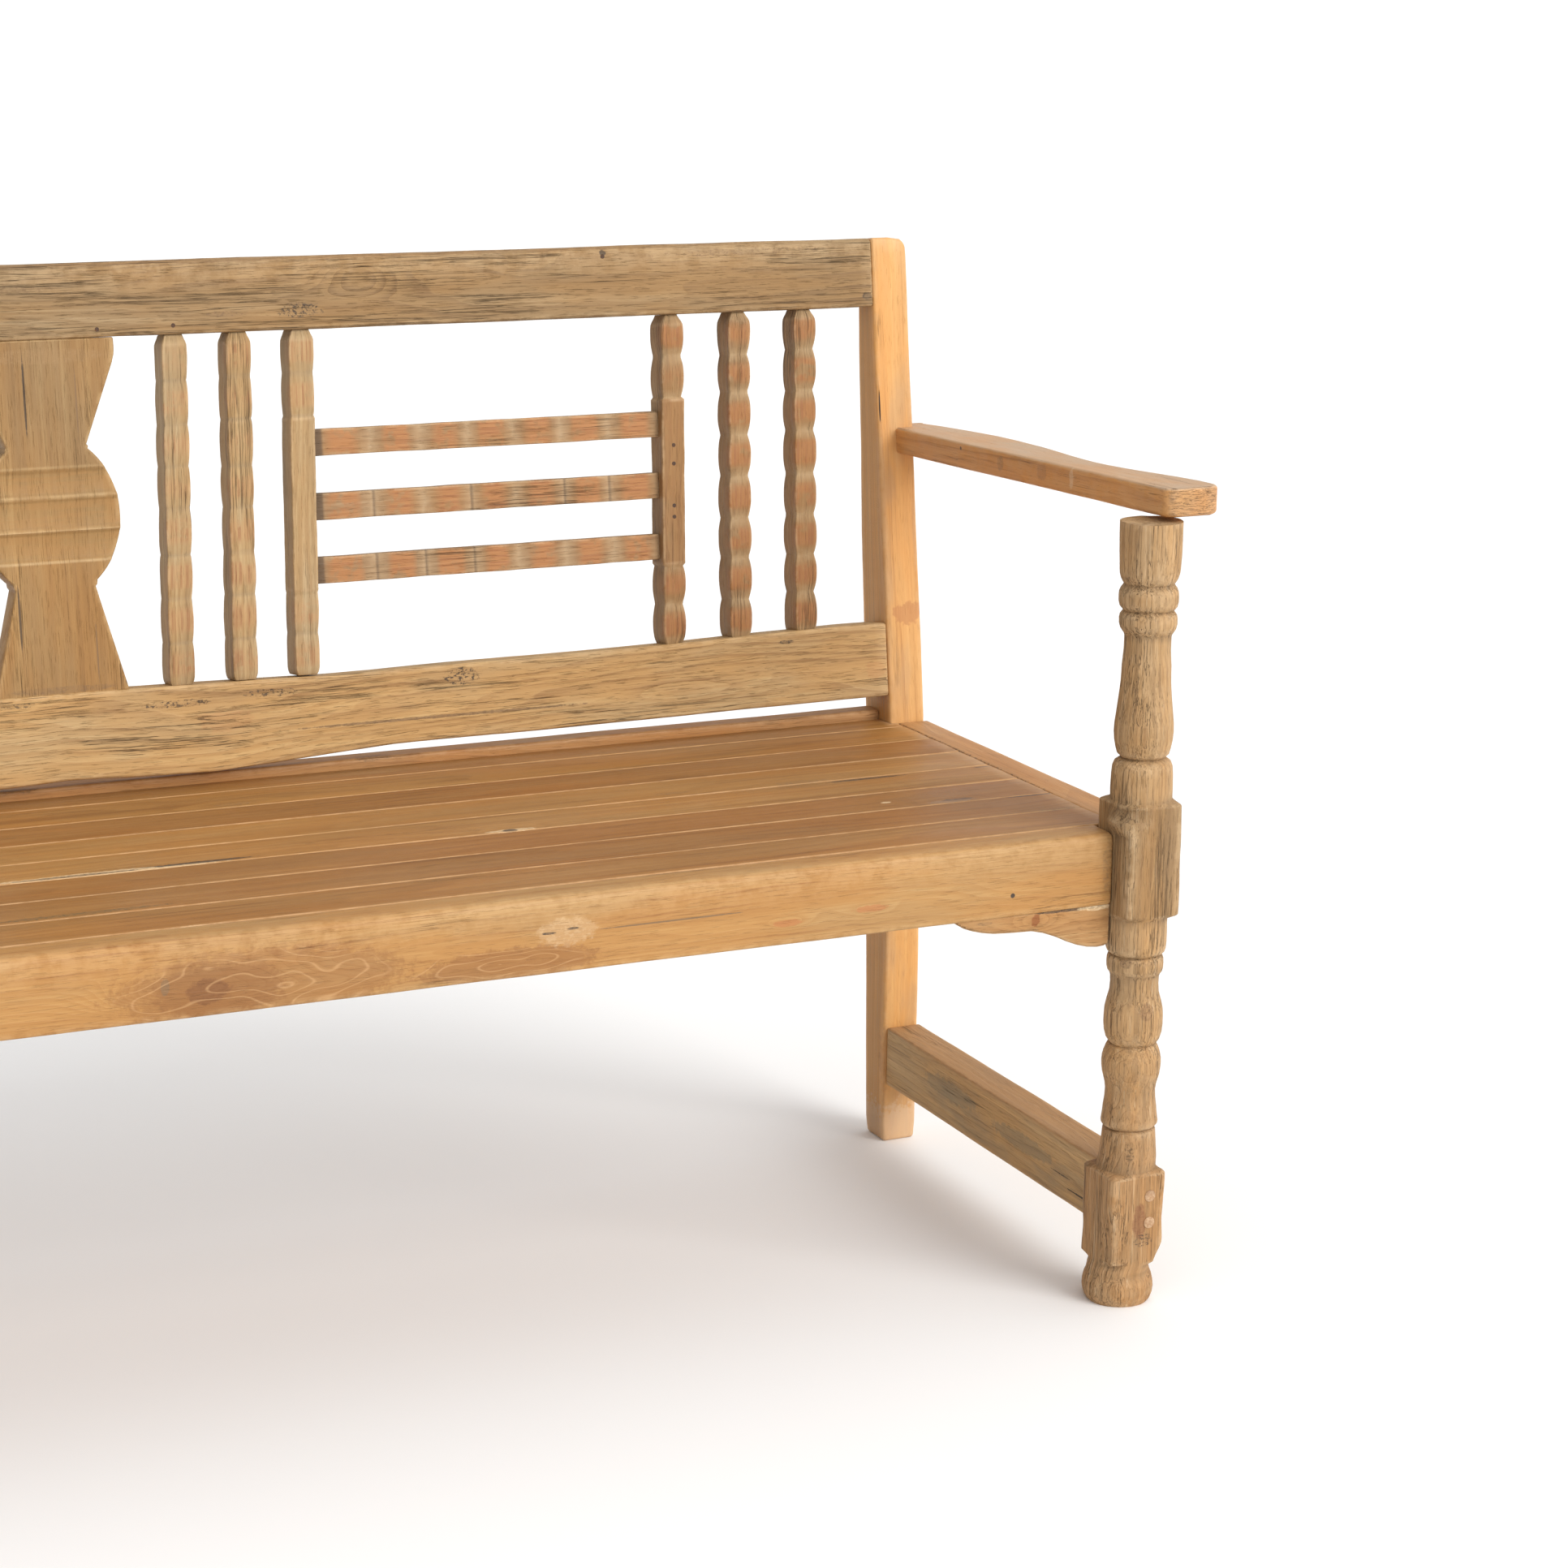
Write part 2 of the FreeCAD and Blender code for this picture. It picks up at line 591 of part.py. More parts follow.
def spindle(name, foot_x, has_plain_middle):
    half = S["spindle_width"] / 2
    bead = S["bead_depth"]
    if has_plain_middle:
        lower = bead_row(size(0), S["plain_base"], 2)
        upper = bead_row(plain_top, panel_height, 2)
        runs = [lower, upper]
    else:
        runs = [bead_row(size(0), panel_height, 8)]

    def centre(height):
        return S["spindle_lean"] * height / panel_height

    # one edge, walked upwards: (distance in from the crown, height, bulge of the stretch above)
    edge = []
    for number, run in enumerate(runs):
        if number:
            edge += [(size(0), run[0], 0)]
        edge += [(bead, height, bead) for height in run[:-1]]
        edge += [(bead, run[-1], 0)]
        if has_plain_middle and number == 0:
            edge += [(size(0), run[-1], 0)]
    right = [(centre(height) + half - inset, height, bulge) for inset, height, bulge in edge]
    downward = []
    for number in range(len(edge) - 1, -1, -1):
        inset, height, bulge = edge[number]
        bulge_below = edge[number - 1][2] if number else 0
        downward.append((inset, height, bulge_below))
    left = [(centre(height) - half + inset, height, bulge) for inset, height, bulge in downward]
    face = new_body(name + "_face")
    pad_outline(face, "XZ_Plane", right + left, S["spindle_depth"], True)
    place_on_back(face, foot_x, S["panel_setback"], lower_rail_top)
    side = new_body(name + "_side")
    front = [(inset, height, bulge) for inset, height, bulge in downward]
    profile = [(bead, size(0), 0), (S["spindle_depth"], size(0), 0),
               (S["spindle_depth"], panel_height, 0)] + front[:-1]
    pad_outline(side, "YZ_Plane", profile, S["spindle_width"] * 3)
    place_on_back(side, foot_x - S["spindle_width"], S["panel_setback"], lower_rail_top)
    finish_later[name] = common_of(face, side)
    panel_tenons(name, foot_x, foot_x + S["spindle_lean"], size(12), size(14), S["spindle_depth"])


spindle_feet = [S["inner_spindle"] + S["spindle_pitch"] * number for number in range(3)]
spindle_feet += [S["outer_spindle"] + S["outer_pitch"] * number for number in range(3)]
for number, foot_x in enumerate(spindle_feet, start=1):
    spindle("spindle_right_%d" % number, foot_x, number in (3, 4))


# ---- lattice rails: three beaded bars between the plain middles of spindles 3 and 4
def lattice_rail(name, middle):
    half = S["spindle_width"] / 2
    base = middle - S["lattice_height"] / 2
    lean = S["spindle_lean"] / panel_height

    def ends(height):
        return spindle_feet[2] + half + lean * height, spindle_feet[3] - half + lean * height

    low_left, low_right = ends(base)
    high_left, high_right = ends(base + S["lattice_height"])
    depth = S["lattice_thickness"]
    face = new_body(name + "_face")
    corners = [(low_left, 0, 0), (low_right, 0, 0), (high_right, S["lattice_height"], 0),
               (high_left, S["lattice_height"], 0)]
    pad_outline(face, "XZ_Plane", corners, depth, True)
    plan = new_body(name + "_plan")
    bead = S["bead_depth"]
    notches = bead_row(low_left - 2, high_right + 2, 7)
    outline = [(x, bead, bead) for x in notches[:-1]]
    outline += [(notches[-1], bead, 0), (notches[-1], depth, 0), (notches[0], depth, 0)]
    pad_outline(plan, "XY_Plane", outline, S["lattice_height"])
    behind = S["panel_setback"] + S["lattice_setback"]
    for body in (face, plan):
        place_on_back(body, size(0), behind, lower_rail_top + base)
    finish_later[name] = common_of(face, plan)
    root = 2
    tenon = (S["small_tenon"] + root, size(8), size(14))
    tenon_y = behind + depth / 2 - 4
    tenon_z = lower_rail_top + middle - 7
    joint(name, "spindle_right_3", tenon, (low_left - S["small_tenon"], tenon_y, tenon_z), True)
    joint(name, "spindle_right_4", tenon, (low_right - root, tenon_y, tenon_z), True)


lattice_free = plain_top - S["plain_base"] - 3 * S["lattice_height"]
lattice_share = lattice_free / (S["lattice_clear_low"] + 2 * S["lattice_clear"] + S["lattice_clear_high"])
lattice_first = S["plain_base"] + S["lattice_clear_low"] * lattice_share + S["lattice_height"] / 2
lattice_last = plain_top - S["lattice_clear_high"] * lattice_share - S["lattice_height"] / 2
lattice_rail("lattice_rail_right_lower", lattice_first)
lattice_rail("lattice_rail_right_middle", (lattice_first + lattice_last) / 2)
lattice_rail("lattice_rail_right_upper", lattice_last)


# ---- seat frame: front, side and back rails
apron_back = half_block + S["apron_lap"]
apron_front = apron_back - S["apron_thickness"]
apron_end = leg_x - half_block
rail_tenon = S["apron_height"] - 2 * rail_shoulder
tenon_behind_face = 8
apron = board("seat_front_rail", apron_end * 2, S["apron_thickness"], S["apron_height"], True)
place(apron, -apron_end, apron_front, rail_base)
finish_later["seat_front_rail"] = apron
joint("seat_front_rail", "front_leg_right", (S["tenon_length"], S["tenon_thickness"], rail_tenon),
      (apron_end, apron_front + tenon_behind_face, rail_base + rail_shoulder))

side_x = leg_x + S["side_rail_outset"]
side_inner = side_x - S["side_rail_thickness"] / 2


def fore_and_aft(name, middle_x, thickness, base, height, front_piece, back_piece):
    """A board from the front leg's block to the back post, tenoned into both."""
    body = board(name, thickness, post_front - half_block, height, True)
    place(body, middle_x - thickness / 2, half_block, base)
    finish_later[name] = body
    sides = (S["tenon_thickness"], S["tenon_length"], height - 2 * rail_shoulder)
    tenon_x = middle_x - S["tenon_thickness"] / 2
    joint(name, front_piece, sides, (tenon_x, half_block - S["tenon_length"], base + rail_shoulder))
    joint(name, back_piece, sides, (tenon_x, post_front, base + rail_shoulder))


fore_and_aft("seat_side_rail_right", side_x, S["side_rail_thickness"], rail_base, S["apron_height"],
             "front_leg_right", "back_post_right")

seat_back_y = post_front + S["back_rail_setback"]
back_rail_height = S["apron_height"] + S["back_rail_rise"]
seat_back = board("seat_back_rail", post_inner * 2, S["back_rail_depth"], back_rail_height, True)
place(seat_back, -post_inner, seat_back_y, rail_base)
finish_later["seat_back_rail"] = seat_back
joint("seat_back_rail", "back_post_right", (S["tenon_length"], S["tenon_thickness"], rail_tenon),
      (post_inner, seat_back_y + S["back_rail_depth"] / 2 - S["tenon_thickness"] / 2,
       rail_base + rail_shoulder))

# ---- seat planks, laid lengthwise on three bearers; the last one is notched around the posts
full_planks = 7
last_plank_lead = 14
plank_field = post_front - last_plank_lead - apron_back
plank_pitch = plank_field / full_planks
last_plank = seat_back_y - apron_back - plank_field
plank_names = ["seat_plank_%d" % number for number in range(1, full_planks + 2)]
plank_middles = []
for number, name in enumerate(plank_names):
    start = apron_back + plank_pitch * number
    width = plank_pitch if number < full_planks else last_plank
    plank = board(name, (side_inner - gap) * 2, width - gap, S["plank_thickness"], True)
    place(plank, -(side_inner - gap), start + gap / 2, seat - S["plank_thickness"])
    finish_later[name] = plank
    plank_middles.append(start + width / 2)
for corner_x in (post_inner - gap, -post_inner + gap - S["post_width"]):
    notch = box(S["post_width"], S["post_knee_depth"], S["plank_thickness"] * 2)
    place(notch, corner_x, post_front - gap, seat - S["plank_thickness"] * 1.5)
    drill(plank_names[-1], notch)

bearer_base = seat - S["plank_thickness"] - S["bearer_height"]
bearer_shoulder = 8
bearer_tenon = (S["bearer_width"] - 2 * bearer_shoulder, S["small_tenon"],
                S["bearer_height"] - 2 * bearer_shoulder)
bearer_places = {"seat_bearer_centre": size(0), "seat_bearer_right": S["bearer_spacing"]}
for name, middle_x in bearer_places.items():
    bearer = board(name, S["bearer_width"], seat_back_y - apron_back, S["bearer_height"])
    place(bearer, middle_x - S["bearer_width"] / 2, apron_back, bearer_base)
    finish_later[name] = bearer
    tenon_x = middle_x - S["bearer_width"] / 2 + bearer_shoulder
    tenon_z = bearer_base + bearer_shoulder
    joint(name, "seat_front_rail", bearer_tenon,
          (tenon_x, apron_back - S["small_tenon"], tenon_z))
    joint(name, "seat_back_rail", bearer_tenon, (tenon_x, seat_back_y, tenon_z))

# ---- lower side stretcher
stretcher_x = leg_x + S["stretcher_outset"]
fore_and_aft("side_stretcher_right", stretcher_x, S["stretcher_thickness"], S["stretcher_base"],
             S["stretcher_height"], "front_leg_right", "back_post_right")


# ---- ogee bracket in the corner between the apron and the leg
def apron_bracket():
    body = new_body("apron_bracket")
    length, height = S["bracket_length"], S["bracket_height"]
    front = [
        (-length, 0, 3), (length * -0.67, height * -0.41, 0), (length * -0.5, height * -0.45, -2.5),
        (length * -0.2, height * -0.93, 1.5), (0, -height, 0), (0, 0, 0),
    ]
    pad_outline(body, "XZ_Plane", front, S["bracket_thickness"], True)
    bracket_setback = 3
    place(body, apron_end, apron_front + bracket_setback, rail_base)
    return body


finish_later["apron_bracket_right"] = apron_bracket()


# ---- fixings
def screw(radius, length):
    """A countersunk screw, its point up."""
    shank = cylinder(radius, length)
    head = doc.addObject("Part::Cone", "Head")
    bind(head, "Radius1", radius * 1.9)
    bind(head, "Radius2", radius)
    bind(head, "Height", radius * 1.6)
    whole = doc.addObject("Part::MultiFuse", "Screw")
    whole.Shapes = [shank, head]
    return whole


def group(name, paired, single=()):
    """Like fixings kept together in one piece of the parts list; paired ones also go on the left."""
    right = doc.addObject("Part::Compound", "Group")
    right.Links = paired
    left = doc.addObject("Part::Mirroring", "Mirror")
    left.Source = right
    left.Normal = (1, 0, 0)
    both = doc.addObject("Part::Compound", "Group")
    both.Links = [right, left] + list(single)
    both.Label = name
    pieces[name] = both


square_on = size(90)
plug_x = stretcher_x + 2
plugs = []
stretcher_screws = []
for offset in (-0.5, 0.5):
    plug_z = S["stretcher_base"] + S["stretcher_height"] / 2 + S["plug_pitch"] * offset
    plug = cylinder(S["plug_radius"], S["plug_length"])
    place(plug, plug_x, -half_block, plug_z, square_on)
    long_screw = screw(S["screw_radius"], S["stretcher_screw"])
    place(long_screw, plug_x, -half_block + S["plug_length"], plug_z, square_on)
    plugs.append(plug)
    stretcher_screws.append(long_screw)
    drill("front_leg_right", plug)
    for name in ("front_leg_right", "side_stretcher_right"):
        drill(name, long_screw)
group("stretcher_plugs", plugs)
group("stretcher_screws", stretcher_screws)

bearer_screws = {1: [], 0: [], -1: []}
for side in bearer_screws:
    for plank_name, plank_y in zip(plank_names, plank_middles):
        bearer_screw = screw(S["screw_radius"], S["bearer_screw"])
        place(bearer_screw, S["bearer_spacing"] * side, plank_y, bearer_base)
        bearer_screws[side].append(bearer_screw)
        drill(plank_name, bearer_screw)
        if side >= 0:
            drill("seat_bearer_right" if side else "seat_bearer_centre", bearer_screw)
group("bearer_screws", bearer_screws[1], bearer_screws[0])

# old nails: through the top rail into the tenons below it, and in the plain middle of spindle 4
rail_nails = []
for x, height in ((53, 7), (124, 8), (552, 58)):
    for side in (1, -1):
        nail = cylinder(S["nail_radius"], S["nail_length"])
        y = post_front + (top_rail_base + height) * lean_sine
        z = seat + (top_rail_base + height) * lean_cosine
        place(nail, size(x * side), y, z, S["recline"] + 90)
        drill("top_rail", nail)
        rail_nails.append(nail)
spindle_nails = []
for height in (126, 137, 178, 196):
    nail = cylinder(S["nail_radius"], S["nail_length"])
    y = post_front + (lower_rail_top + height) * lean_sine + S["panel_setback"] * lean_cosine
    z = seat + (lower_rail_top + height) * lean_cosine - S["panel_setback"] * lean_sine
    place(nail, spindle_feet[3] + S["spindle_lean"] * height / panel_height, y, z,
          S["recline"] + 90)
    drill("spindle_right_4", nail)
    spindle_nails.append(nail)
group("rail_nails", spindle_nails, rail_nails)

# ---- finishing: tenons and mortises, left-hand twins, checks and export
for name, base in finish_later.items():
    finish(name, base)
for name in list(pieces):
    if "right" in name:
        mirror(name.replace("right", "left"), pieces[name])
doc.recompute()

for item in doc.Objects:
    if any(word in ("Invalid", "Error") for word in item.State):
        raise RuntimeError("%s (%s) failed: %s" % (item.Name, item.Label, item.State))
for name, item in pieces.items():
    shape = item.Shape
    if shape.isNull() or not shape.isValid():
        raise RuntimeError("%s has no sound shape" % name)
    solids = len(shape.Solids)
    if solids != 1 and item.TypeId != "Part::Compound":
        raise RuntimeError("%s came out as %d solids" % (name, solids))
    print("%-28s %2d solid(s) %10.0f mm3" % (name, solids, shape.Volume))
for name, item in sorted(pieces.items()):
    item.Shape.exportStep("parts/%s.step" % name)
print("%d pieces written" % len(pieces))
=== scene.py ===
import bpy
import bmesh
import math
from mathutils import Matrix, Vector, noise


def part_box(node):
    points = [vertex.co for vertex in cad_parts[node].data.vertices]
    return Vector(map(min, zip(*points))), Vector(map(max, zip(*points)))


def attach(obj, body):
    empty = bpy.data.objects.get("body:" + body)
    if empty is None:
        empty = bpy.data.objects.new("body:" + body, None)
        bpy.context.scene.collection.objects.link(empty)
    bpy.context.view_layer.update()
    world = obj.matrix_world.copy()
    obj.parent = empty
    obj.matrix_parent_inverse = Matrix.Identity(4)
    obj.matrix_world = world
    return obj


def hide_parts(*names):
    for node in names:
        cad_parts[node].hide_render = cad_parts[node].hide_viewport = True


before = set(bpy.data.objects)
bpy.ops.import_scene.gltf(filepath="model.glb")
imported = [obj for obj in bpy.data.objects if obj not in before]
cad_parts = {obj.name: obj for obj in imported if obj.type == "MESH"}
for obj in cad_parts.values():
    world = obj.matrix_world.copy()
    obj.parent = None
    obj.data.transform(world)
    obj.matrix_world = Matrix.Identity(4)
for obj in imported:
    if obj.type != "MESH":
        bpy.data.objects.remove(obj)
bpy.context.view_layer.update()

# ---------------------------------------------------------------------------------------------
# Front legs. Each is one length of old teak, turned between two blocks that are left square and
# turned again below them to a bun foot. The wood is greyed, with deep grain and worn corners.
# ---------------------------------------------------------------------------------------------
leg_axis = 0.859
half_block = 0.029
leg_middle_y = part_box("seat_front_rail")[0].y - 0.025 + half_block
leg_top = 736.8  # millimetres
block_low, block_high = (0.038, 0.130), (0.370, 0.480)
leg_turning = [  # height and radius in millimetres, from the foot up
    (0, 28.5), (3, 30.6), (8, 32.2), (13, 32.9), (18, 32.5), (24, 31.2), (28, 29.6), (31, 29.0), (34, 29.2),
    (38, 29.2), (128, 28), (130, 27), (140, 26.4), (150, 25.6), (160, 24.9), (166, 24.4), (168, 21.6),
    (170, 24.6), (172, 26), (174, 26.2), (178, 25.6), (183, 24.9), (188, 24.5), (196, 23.4), (204, 23.0),
    (210, 23.8), (216, 25.3), (220, 26.4), (226, 27.2), (231, 27.4), (235, 27.1), (240, 25.9), (245, 24),
    (247.5, 22.6), (249, 20.8), (251, 22.6), (254, 24.6), (260, 26.3), (267, 27), (275, 27), (282, 26.6),
    (290, 25), (298, 22.9), (306, 22.3), (313, 22.5), (316, 23.5), (318, 25), (321, 25.8), (326, 26),
    (330, 25.7), (332.5, 24.8), (334, 22.8), (335.5, 24.5), (337, 26.2), (340, 27.3), (346, 27.8),
    (356, 27.9), (363, 27.7), (371, 27.7), (478, 27.8), (488, 28.2), (496, 28), (503, 27.8), (510, 27.2),
    (514, 25.6), (516.5, 22), (518, 19.2), (519.5, 21), (522, 23.6), (527, 25), (534, 26.3), (541, 26.8),
    (549, 26.5), (556, 25.7), (563, 25), (571, 24.2), (579, 23.4), (586, 22.7), (594, 22.2), (601, 22),
    (608, 21.4), (616, 20.9), (624, 20.9), (629, 21), (631, 21.6), (633, 23), (636, 25), (640, 26.1),
    (645, 26.2), (648, 25.6), (650.5, 23.8), (652, 22.6), (653.5, 24), (656, 26), (660, 26.9), (665, 27),
    (669, 26.6), (672, 25.2), (674, 23.6), (676, 22.6), (678, 24), (681, 25.6), (685, 26.8), (689, 27.2),
    (696, 27.5), (704, 27.9), (720, 28.1), (740, 28.2),
]


def ease_in(value, start, stop):
    """0 before start, 1 after stop, and a smooth rise between them."""
    share = min(1.0, max(0.0, (value - start) / (stop - start)))
    return share * share * (3 - 2 * share)


def along(points, value):
    """The height of a line drawn through the points (place, height) at one place."""
    if value <= points[0][0]:
        return points[0][1]
    for (left, low), (right, high) in zip(points, points[1:]):
        if value <= right:
            return low + (high - low) * (value - left) / (right - left)
    return points[-1][1]


def handwork(place, size, depth, seed):
    """A small push in any direction, as a plane or a rasp leaves by hand."""
    return noise.noise_vector(place / size + Vector((seed * 3.1, seed * 1.7, seed * 5.3))) * depth


def remember_grain(timber, seed, turn=None):
    """Keeps each point's place in the log, so that the grain runs with the piece wherever it goes."""
    grain = timber.verts.layers.float_vector.new("grain")
    start = Vector((seed * 1.731, seed * 0.317, seed * 0.473))
    for point in timber.verts:
        place = turn @ point.co if turn else point.co
        point[grain] = place + start


def fit(name, timber, finish, slot, *nodes):
    """Turns the mesh outwards, notes its worn edges and hollows, and fits it on the bench."""
    bmesh.ops.remove_doubles(timber, verts=timber.verts[:], dist=0.000002)
    bmesh.ops.recalc_face_normals(timber, faces=timber.faces[:])
    worn = timber.verts.layers.float.new("worn")
    hollow = timber.verts.layers.float.new("hollow")
    for point in timber.verts:
        bends = [edge.calc_face_angle_signed(0.0) for edge in point.link_edges]
        point[worn] = min(1.0, max(0.0, max(bends)) / 0.4)
        point[hollow] = min(1.0, max(0.0, -min(bends)) / 0.4)
    for face in timber.faces:
        face.smooth = True
    for edge in timber.edges:
        edge.smooth = abs(edge.calc_face_angle_signed(0.0)) < 0.9
    mesh = bpy.data.meshes.new(name)
    timber.to_mesh(mesh)
    timber.free()
    mesh.materials.append(finish)
    piece = bpy.data.objects.new(name, mesh)
    bpy.context.scene.collection.objects.link(piece)
    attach(piece, "root")
    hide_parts(*nodes)
    return piece


def put(tree, kind, inputs=None, **settings):
    """Adds a node. An input is a plain value or another node's output."""
    node = tree.nodes.new(kind)
    for key, value in settings.items():
        setattr(node, key, value)
    for key, value in (inputs or {}).items():
        if isinstance(value, bpy.types.NodeSocket):
            tree.links.new(value, node.inputs[key])
        else:
            node.inputs[key].default_value = value
    return node


def sums(tree, how, first, second=0.0, third=0.0):
    return put(tree, "ShaderNodeMath", {0: first, 1: second, 2: third}, operation=how).outputs[0]


def within(tree, value, low, high, at_low=0.0, at_high=1.0):
    """Rises smoothly from at_low to at_high as value goes from low to high."""
    span = {"Value": value, "From Min": low, "From Max": high, "To Min": at_low, "To Max": at_high}
    return put(tree, "ShaderNodeMapRange", span, interpolation_type="SMOOTHSTEP").outputs["Result"]


def tint(tree, share, under, over, how="MIX"):
    mix = put(tree, "ShaderNodeMix", {0: share, 6: under, 7: over}, data_type="RGBA", blend_type=how)
    return mix.outputs[2]


def stretched_noise(tree, place, scale, detail=3.0, roughness=0.55, bend=0.0):
    """Noise drawn out by its own scale along, across and through the wood."""
    fitted = put(tree, "ShaderNodeMapping", {"Vector": place, "Scale": scale}).outputs[0]
    grown = {"Vector": fitted, "Scale": 1.0, "Detail": detail, "Roughness": roughness, "Distortion": bend}
    return put(tree, "ShaderNodeTexNoise", grown).outputs["Fac"]


def group_of(name, takes, gives):
    """An empty node group with its inputs and outputs."""
    tree = bpy.data.node_groups.new(name, "ShaderNodeTree")
    for label, (kind, value) in takes.items():
        socket = tree.interface.new_socket(label, in_out="INPUT", socket_type="NodeSocket" + kind)
        if value is not None:
            socket.default_value = value
    for label, kind in gives.items():
        tree.interface.new_socket(label, in_out="OUTPUT", socket_type="NodeSocket" + kind)
    return tree, tree.nodes.new("NodeGroupInput").outputs, tree.nodes.new("NodeGroupOutput").inputs


def use(tree, group, **inputs):
    """Places a group in a material."""
    named = {key.replace("_", " "): value for key, value in inputs.items()}
    node = tree.nodes.new("ShaderNodeGroup")
    node.node_tree = group
    for key, value in named.items():
        if isinstance(value, bpy.types.NodeSocket):
            tree.links.new(value, node.inputs[key])
        else:
            node.inputs[key].default_value = value
    return node.outputs


# growth rings, fibres and pores of teak, and its colour between a pale, a middle and a deep tone
teak_grain, takes, gives = group_of(
    "Teak grain",
    {"Grain": ("Vector", None), "Swirl": ("Float", 0.0), "Rings": ("Float", 170.0), "Figure": ("Float", 0.5),
     "Pale": ("Color", (0.6, 0.4, 0.2, 1)), "Middle": ("Color", (0.5, 0.3, 0.14, 1)),
     "Deep": ("Color", (0.3, 0.16, 0.06, 1))},
    {"Color": "Color", "Height": "Float", "Lines": "Float", "Cloud": "Float"})
apart = put(teak_grain, "ShaderNodeSeparateXYZ", {0: takes["Grain"]}).outputs
drift = stretched_noise(teak_grain, takes["Grain"], (1.9, 14, 14), 2.0, 0.5)
ripple = stretched_noise(teak_grain, takes["Grain"], (14, 60, 60), 2.0, 0.5)
from_heart = sums(teak_grain, "ADD", apart["Z"], 0.055)
heart_squared = sums(teak_grain, "MULTIPLY", from_heart, from_heart)
radius_squared = sums(teak_grain, "MULTIPLY_ADD", apart["Y"], apart["Y"], heart_squared)
ring_radius = sums(teak_grain, "SQRT", radius_squared)
bent = sums(teak_grain, "MULTIPLY_ADD", drift, 0.075, ring_radius)
bent = sums(teak_grain, "MULTIPLY_ADD", ripple, 0.006, bent)
bent = sums(teak_grain, "ADD", bent, takes["Swirl"])
ring_phase = sums(teak_grain, "FRACT", sums(teak_grain, "MULTIPLY", bent, takes["Rings"]))
late_rise = within(teak_grain, ring_phase, 0.25, 0.93)
late_fall = within(teak_grain, ring_phase, 0.93, 1.0, 1.0, 0.0)
late_wood = sums(teak_grain, "MULTIPLY", late_rise, late_fall)
fibres = stretched_noise(teak_grain, takes["Grain"], (9, 420, 420), 4.0, 0.65, 0.3)
hairs = stretched_noise(teak_grain, takes["Grain"], (7, 1100, 1100), 3.0, 0.6, 0.2)
pores = stretched_noise(teak_grain, takes["Grain"], (55, 1500, 1500), 2.0, 0.5)
pore_marks = within(teak_grain, pores, 0.60, 0.72)
cloud = stretched_noise(teak_grain, takes["Grain"], (3.2, 17, 17), 3.0, 0.55)
streak = stretched_noise(teak_grain, takes["Grain"], (1.6, 95, 95), 3.0, 0.6)
tone = sums(teak_grain, "MULTIPLY", late_wood, takes["Figure"])
tone = sums(teak_grain, "MULTIPLY_ADD", within(teak_grain, fibres, 0.3, 0.7), 0.34, tone)
tone = sums(teak_grain, "MULTIPLY_ADD", within(teak_grain, cloud, 0.3, 0.72), 0.42, tone)
tone = sums(teak_grain, "MULTIPLY_ADD", within(teak_grain, streak, 0.32, 0.7), 0.38, tone)
tone = sums(teak_grain, "MULTIPLY_ADD", within(teak_grain, hairs, 0.32, 0.68), 0.30, tone)
tone = sums(teak_grain, "MULTIPLY", tone, 0.74)
to_middle = within(teak_grain, tone, 0.08, 0.62)
to_deep = within(teak_grain, tone, 0.62, 1.25)
wood = tint(teak_grain, to_middle, takes["Pale"], takes["Middle"])
wood = tint(teak_grain, to_deep, wood, takes["Deep"])
warmth = stretched_noise(teak_grain, takes["Grain"], (4.5, 22, 22), 3.0, 0.6)
wood = tint(teak_grain, within(teak_grain, warmth, 0.36, 0.62), wood, (1.05, 0.95, 0.80, 1), "MULTIPLY")
dark_pores = sums(teak_grain, "MULTIPLY", pore_marks, 0.35)
wood = tint(teak_grain, dark_pores, wood, takes["Deep"])
teak_grain.links.new(wood, gives["Color"])
relief = sums(teak_grain, "MULTIPLY_ADD", fibres, 0.6, sums(teak_grain, "MULTIPLY", late_wood, 0.35))
relief = sums(teak_grain, "MULTIPLY_ADD", pore_marks, -0.45, relief)
teak_grain.links.new(relief, gives["Height"])
teak_grain.links.new(late_wood, gives["Lines"])
teak_grain.links.new(cloud, gives["Cloud"])

# hairline checks that have opened along the grain, in patches
open_grain, takes, gives = group_of(
    "Open grain",
    {"Grain": ("Vector", None), "Amount": ("Float", 0.5), "Width": ("Float", 0.02)},
    {"Cracks": "Float", "Scratches": "Float"})
level = stretched_noise(open_grain, takes["Grain"], (3.2, 230, 230), 4.0, 0.6, 0.35)
off_line = sums(open_grain, "ABSOLUTE", sums(open_grain, "SUBTRACT", level, 0.5))
line = within(open_grain, off_line, 0.0, takes["Width"], 1.0, 0.0)
field = stretched_noise(open_grain, takes["Grain"], (6, 38, 38), 2.0, 0.5)
reach = sums(open_grain, "MULTIPLY_ADD", takes["Amount"], -0.3, 0.66)
patches = within(open_grain, sums(open_grain, "SUBTRACT", field, reach), 0.0, 0.09)
open_grain.links.new(sums(open_grain, "MULTIPLY", line, patches), gives["Cracks"])
fine = stretched_noise(open_grain, takes["Grain"], (26, 800, 800), 3.0, 0.6, 0.2)
fine_field = stretched_noise(open_grain, takes["Grain"], (11, 60, 60), 2.0, 0.5)
fine_marks = sums(open_grain, "MULTIPLY", within(open_grain, fine, 0.58, 0.7),
                  within(open_grain, fine_field, 0.42, 0.62))
open_grain.links.new(fine_marks, gives["Scratches"])

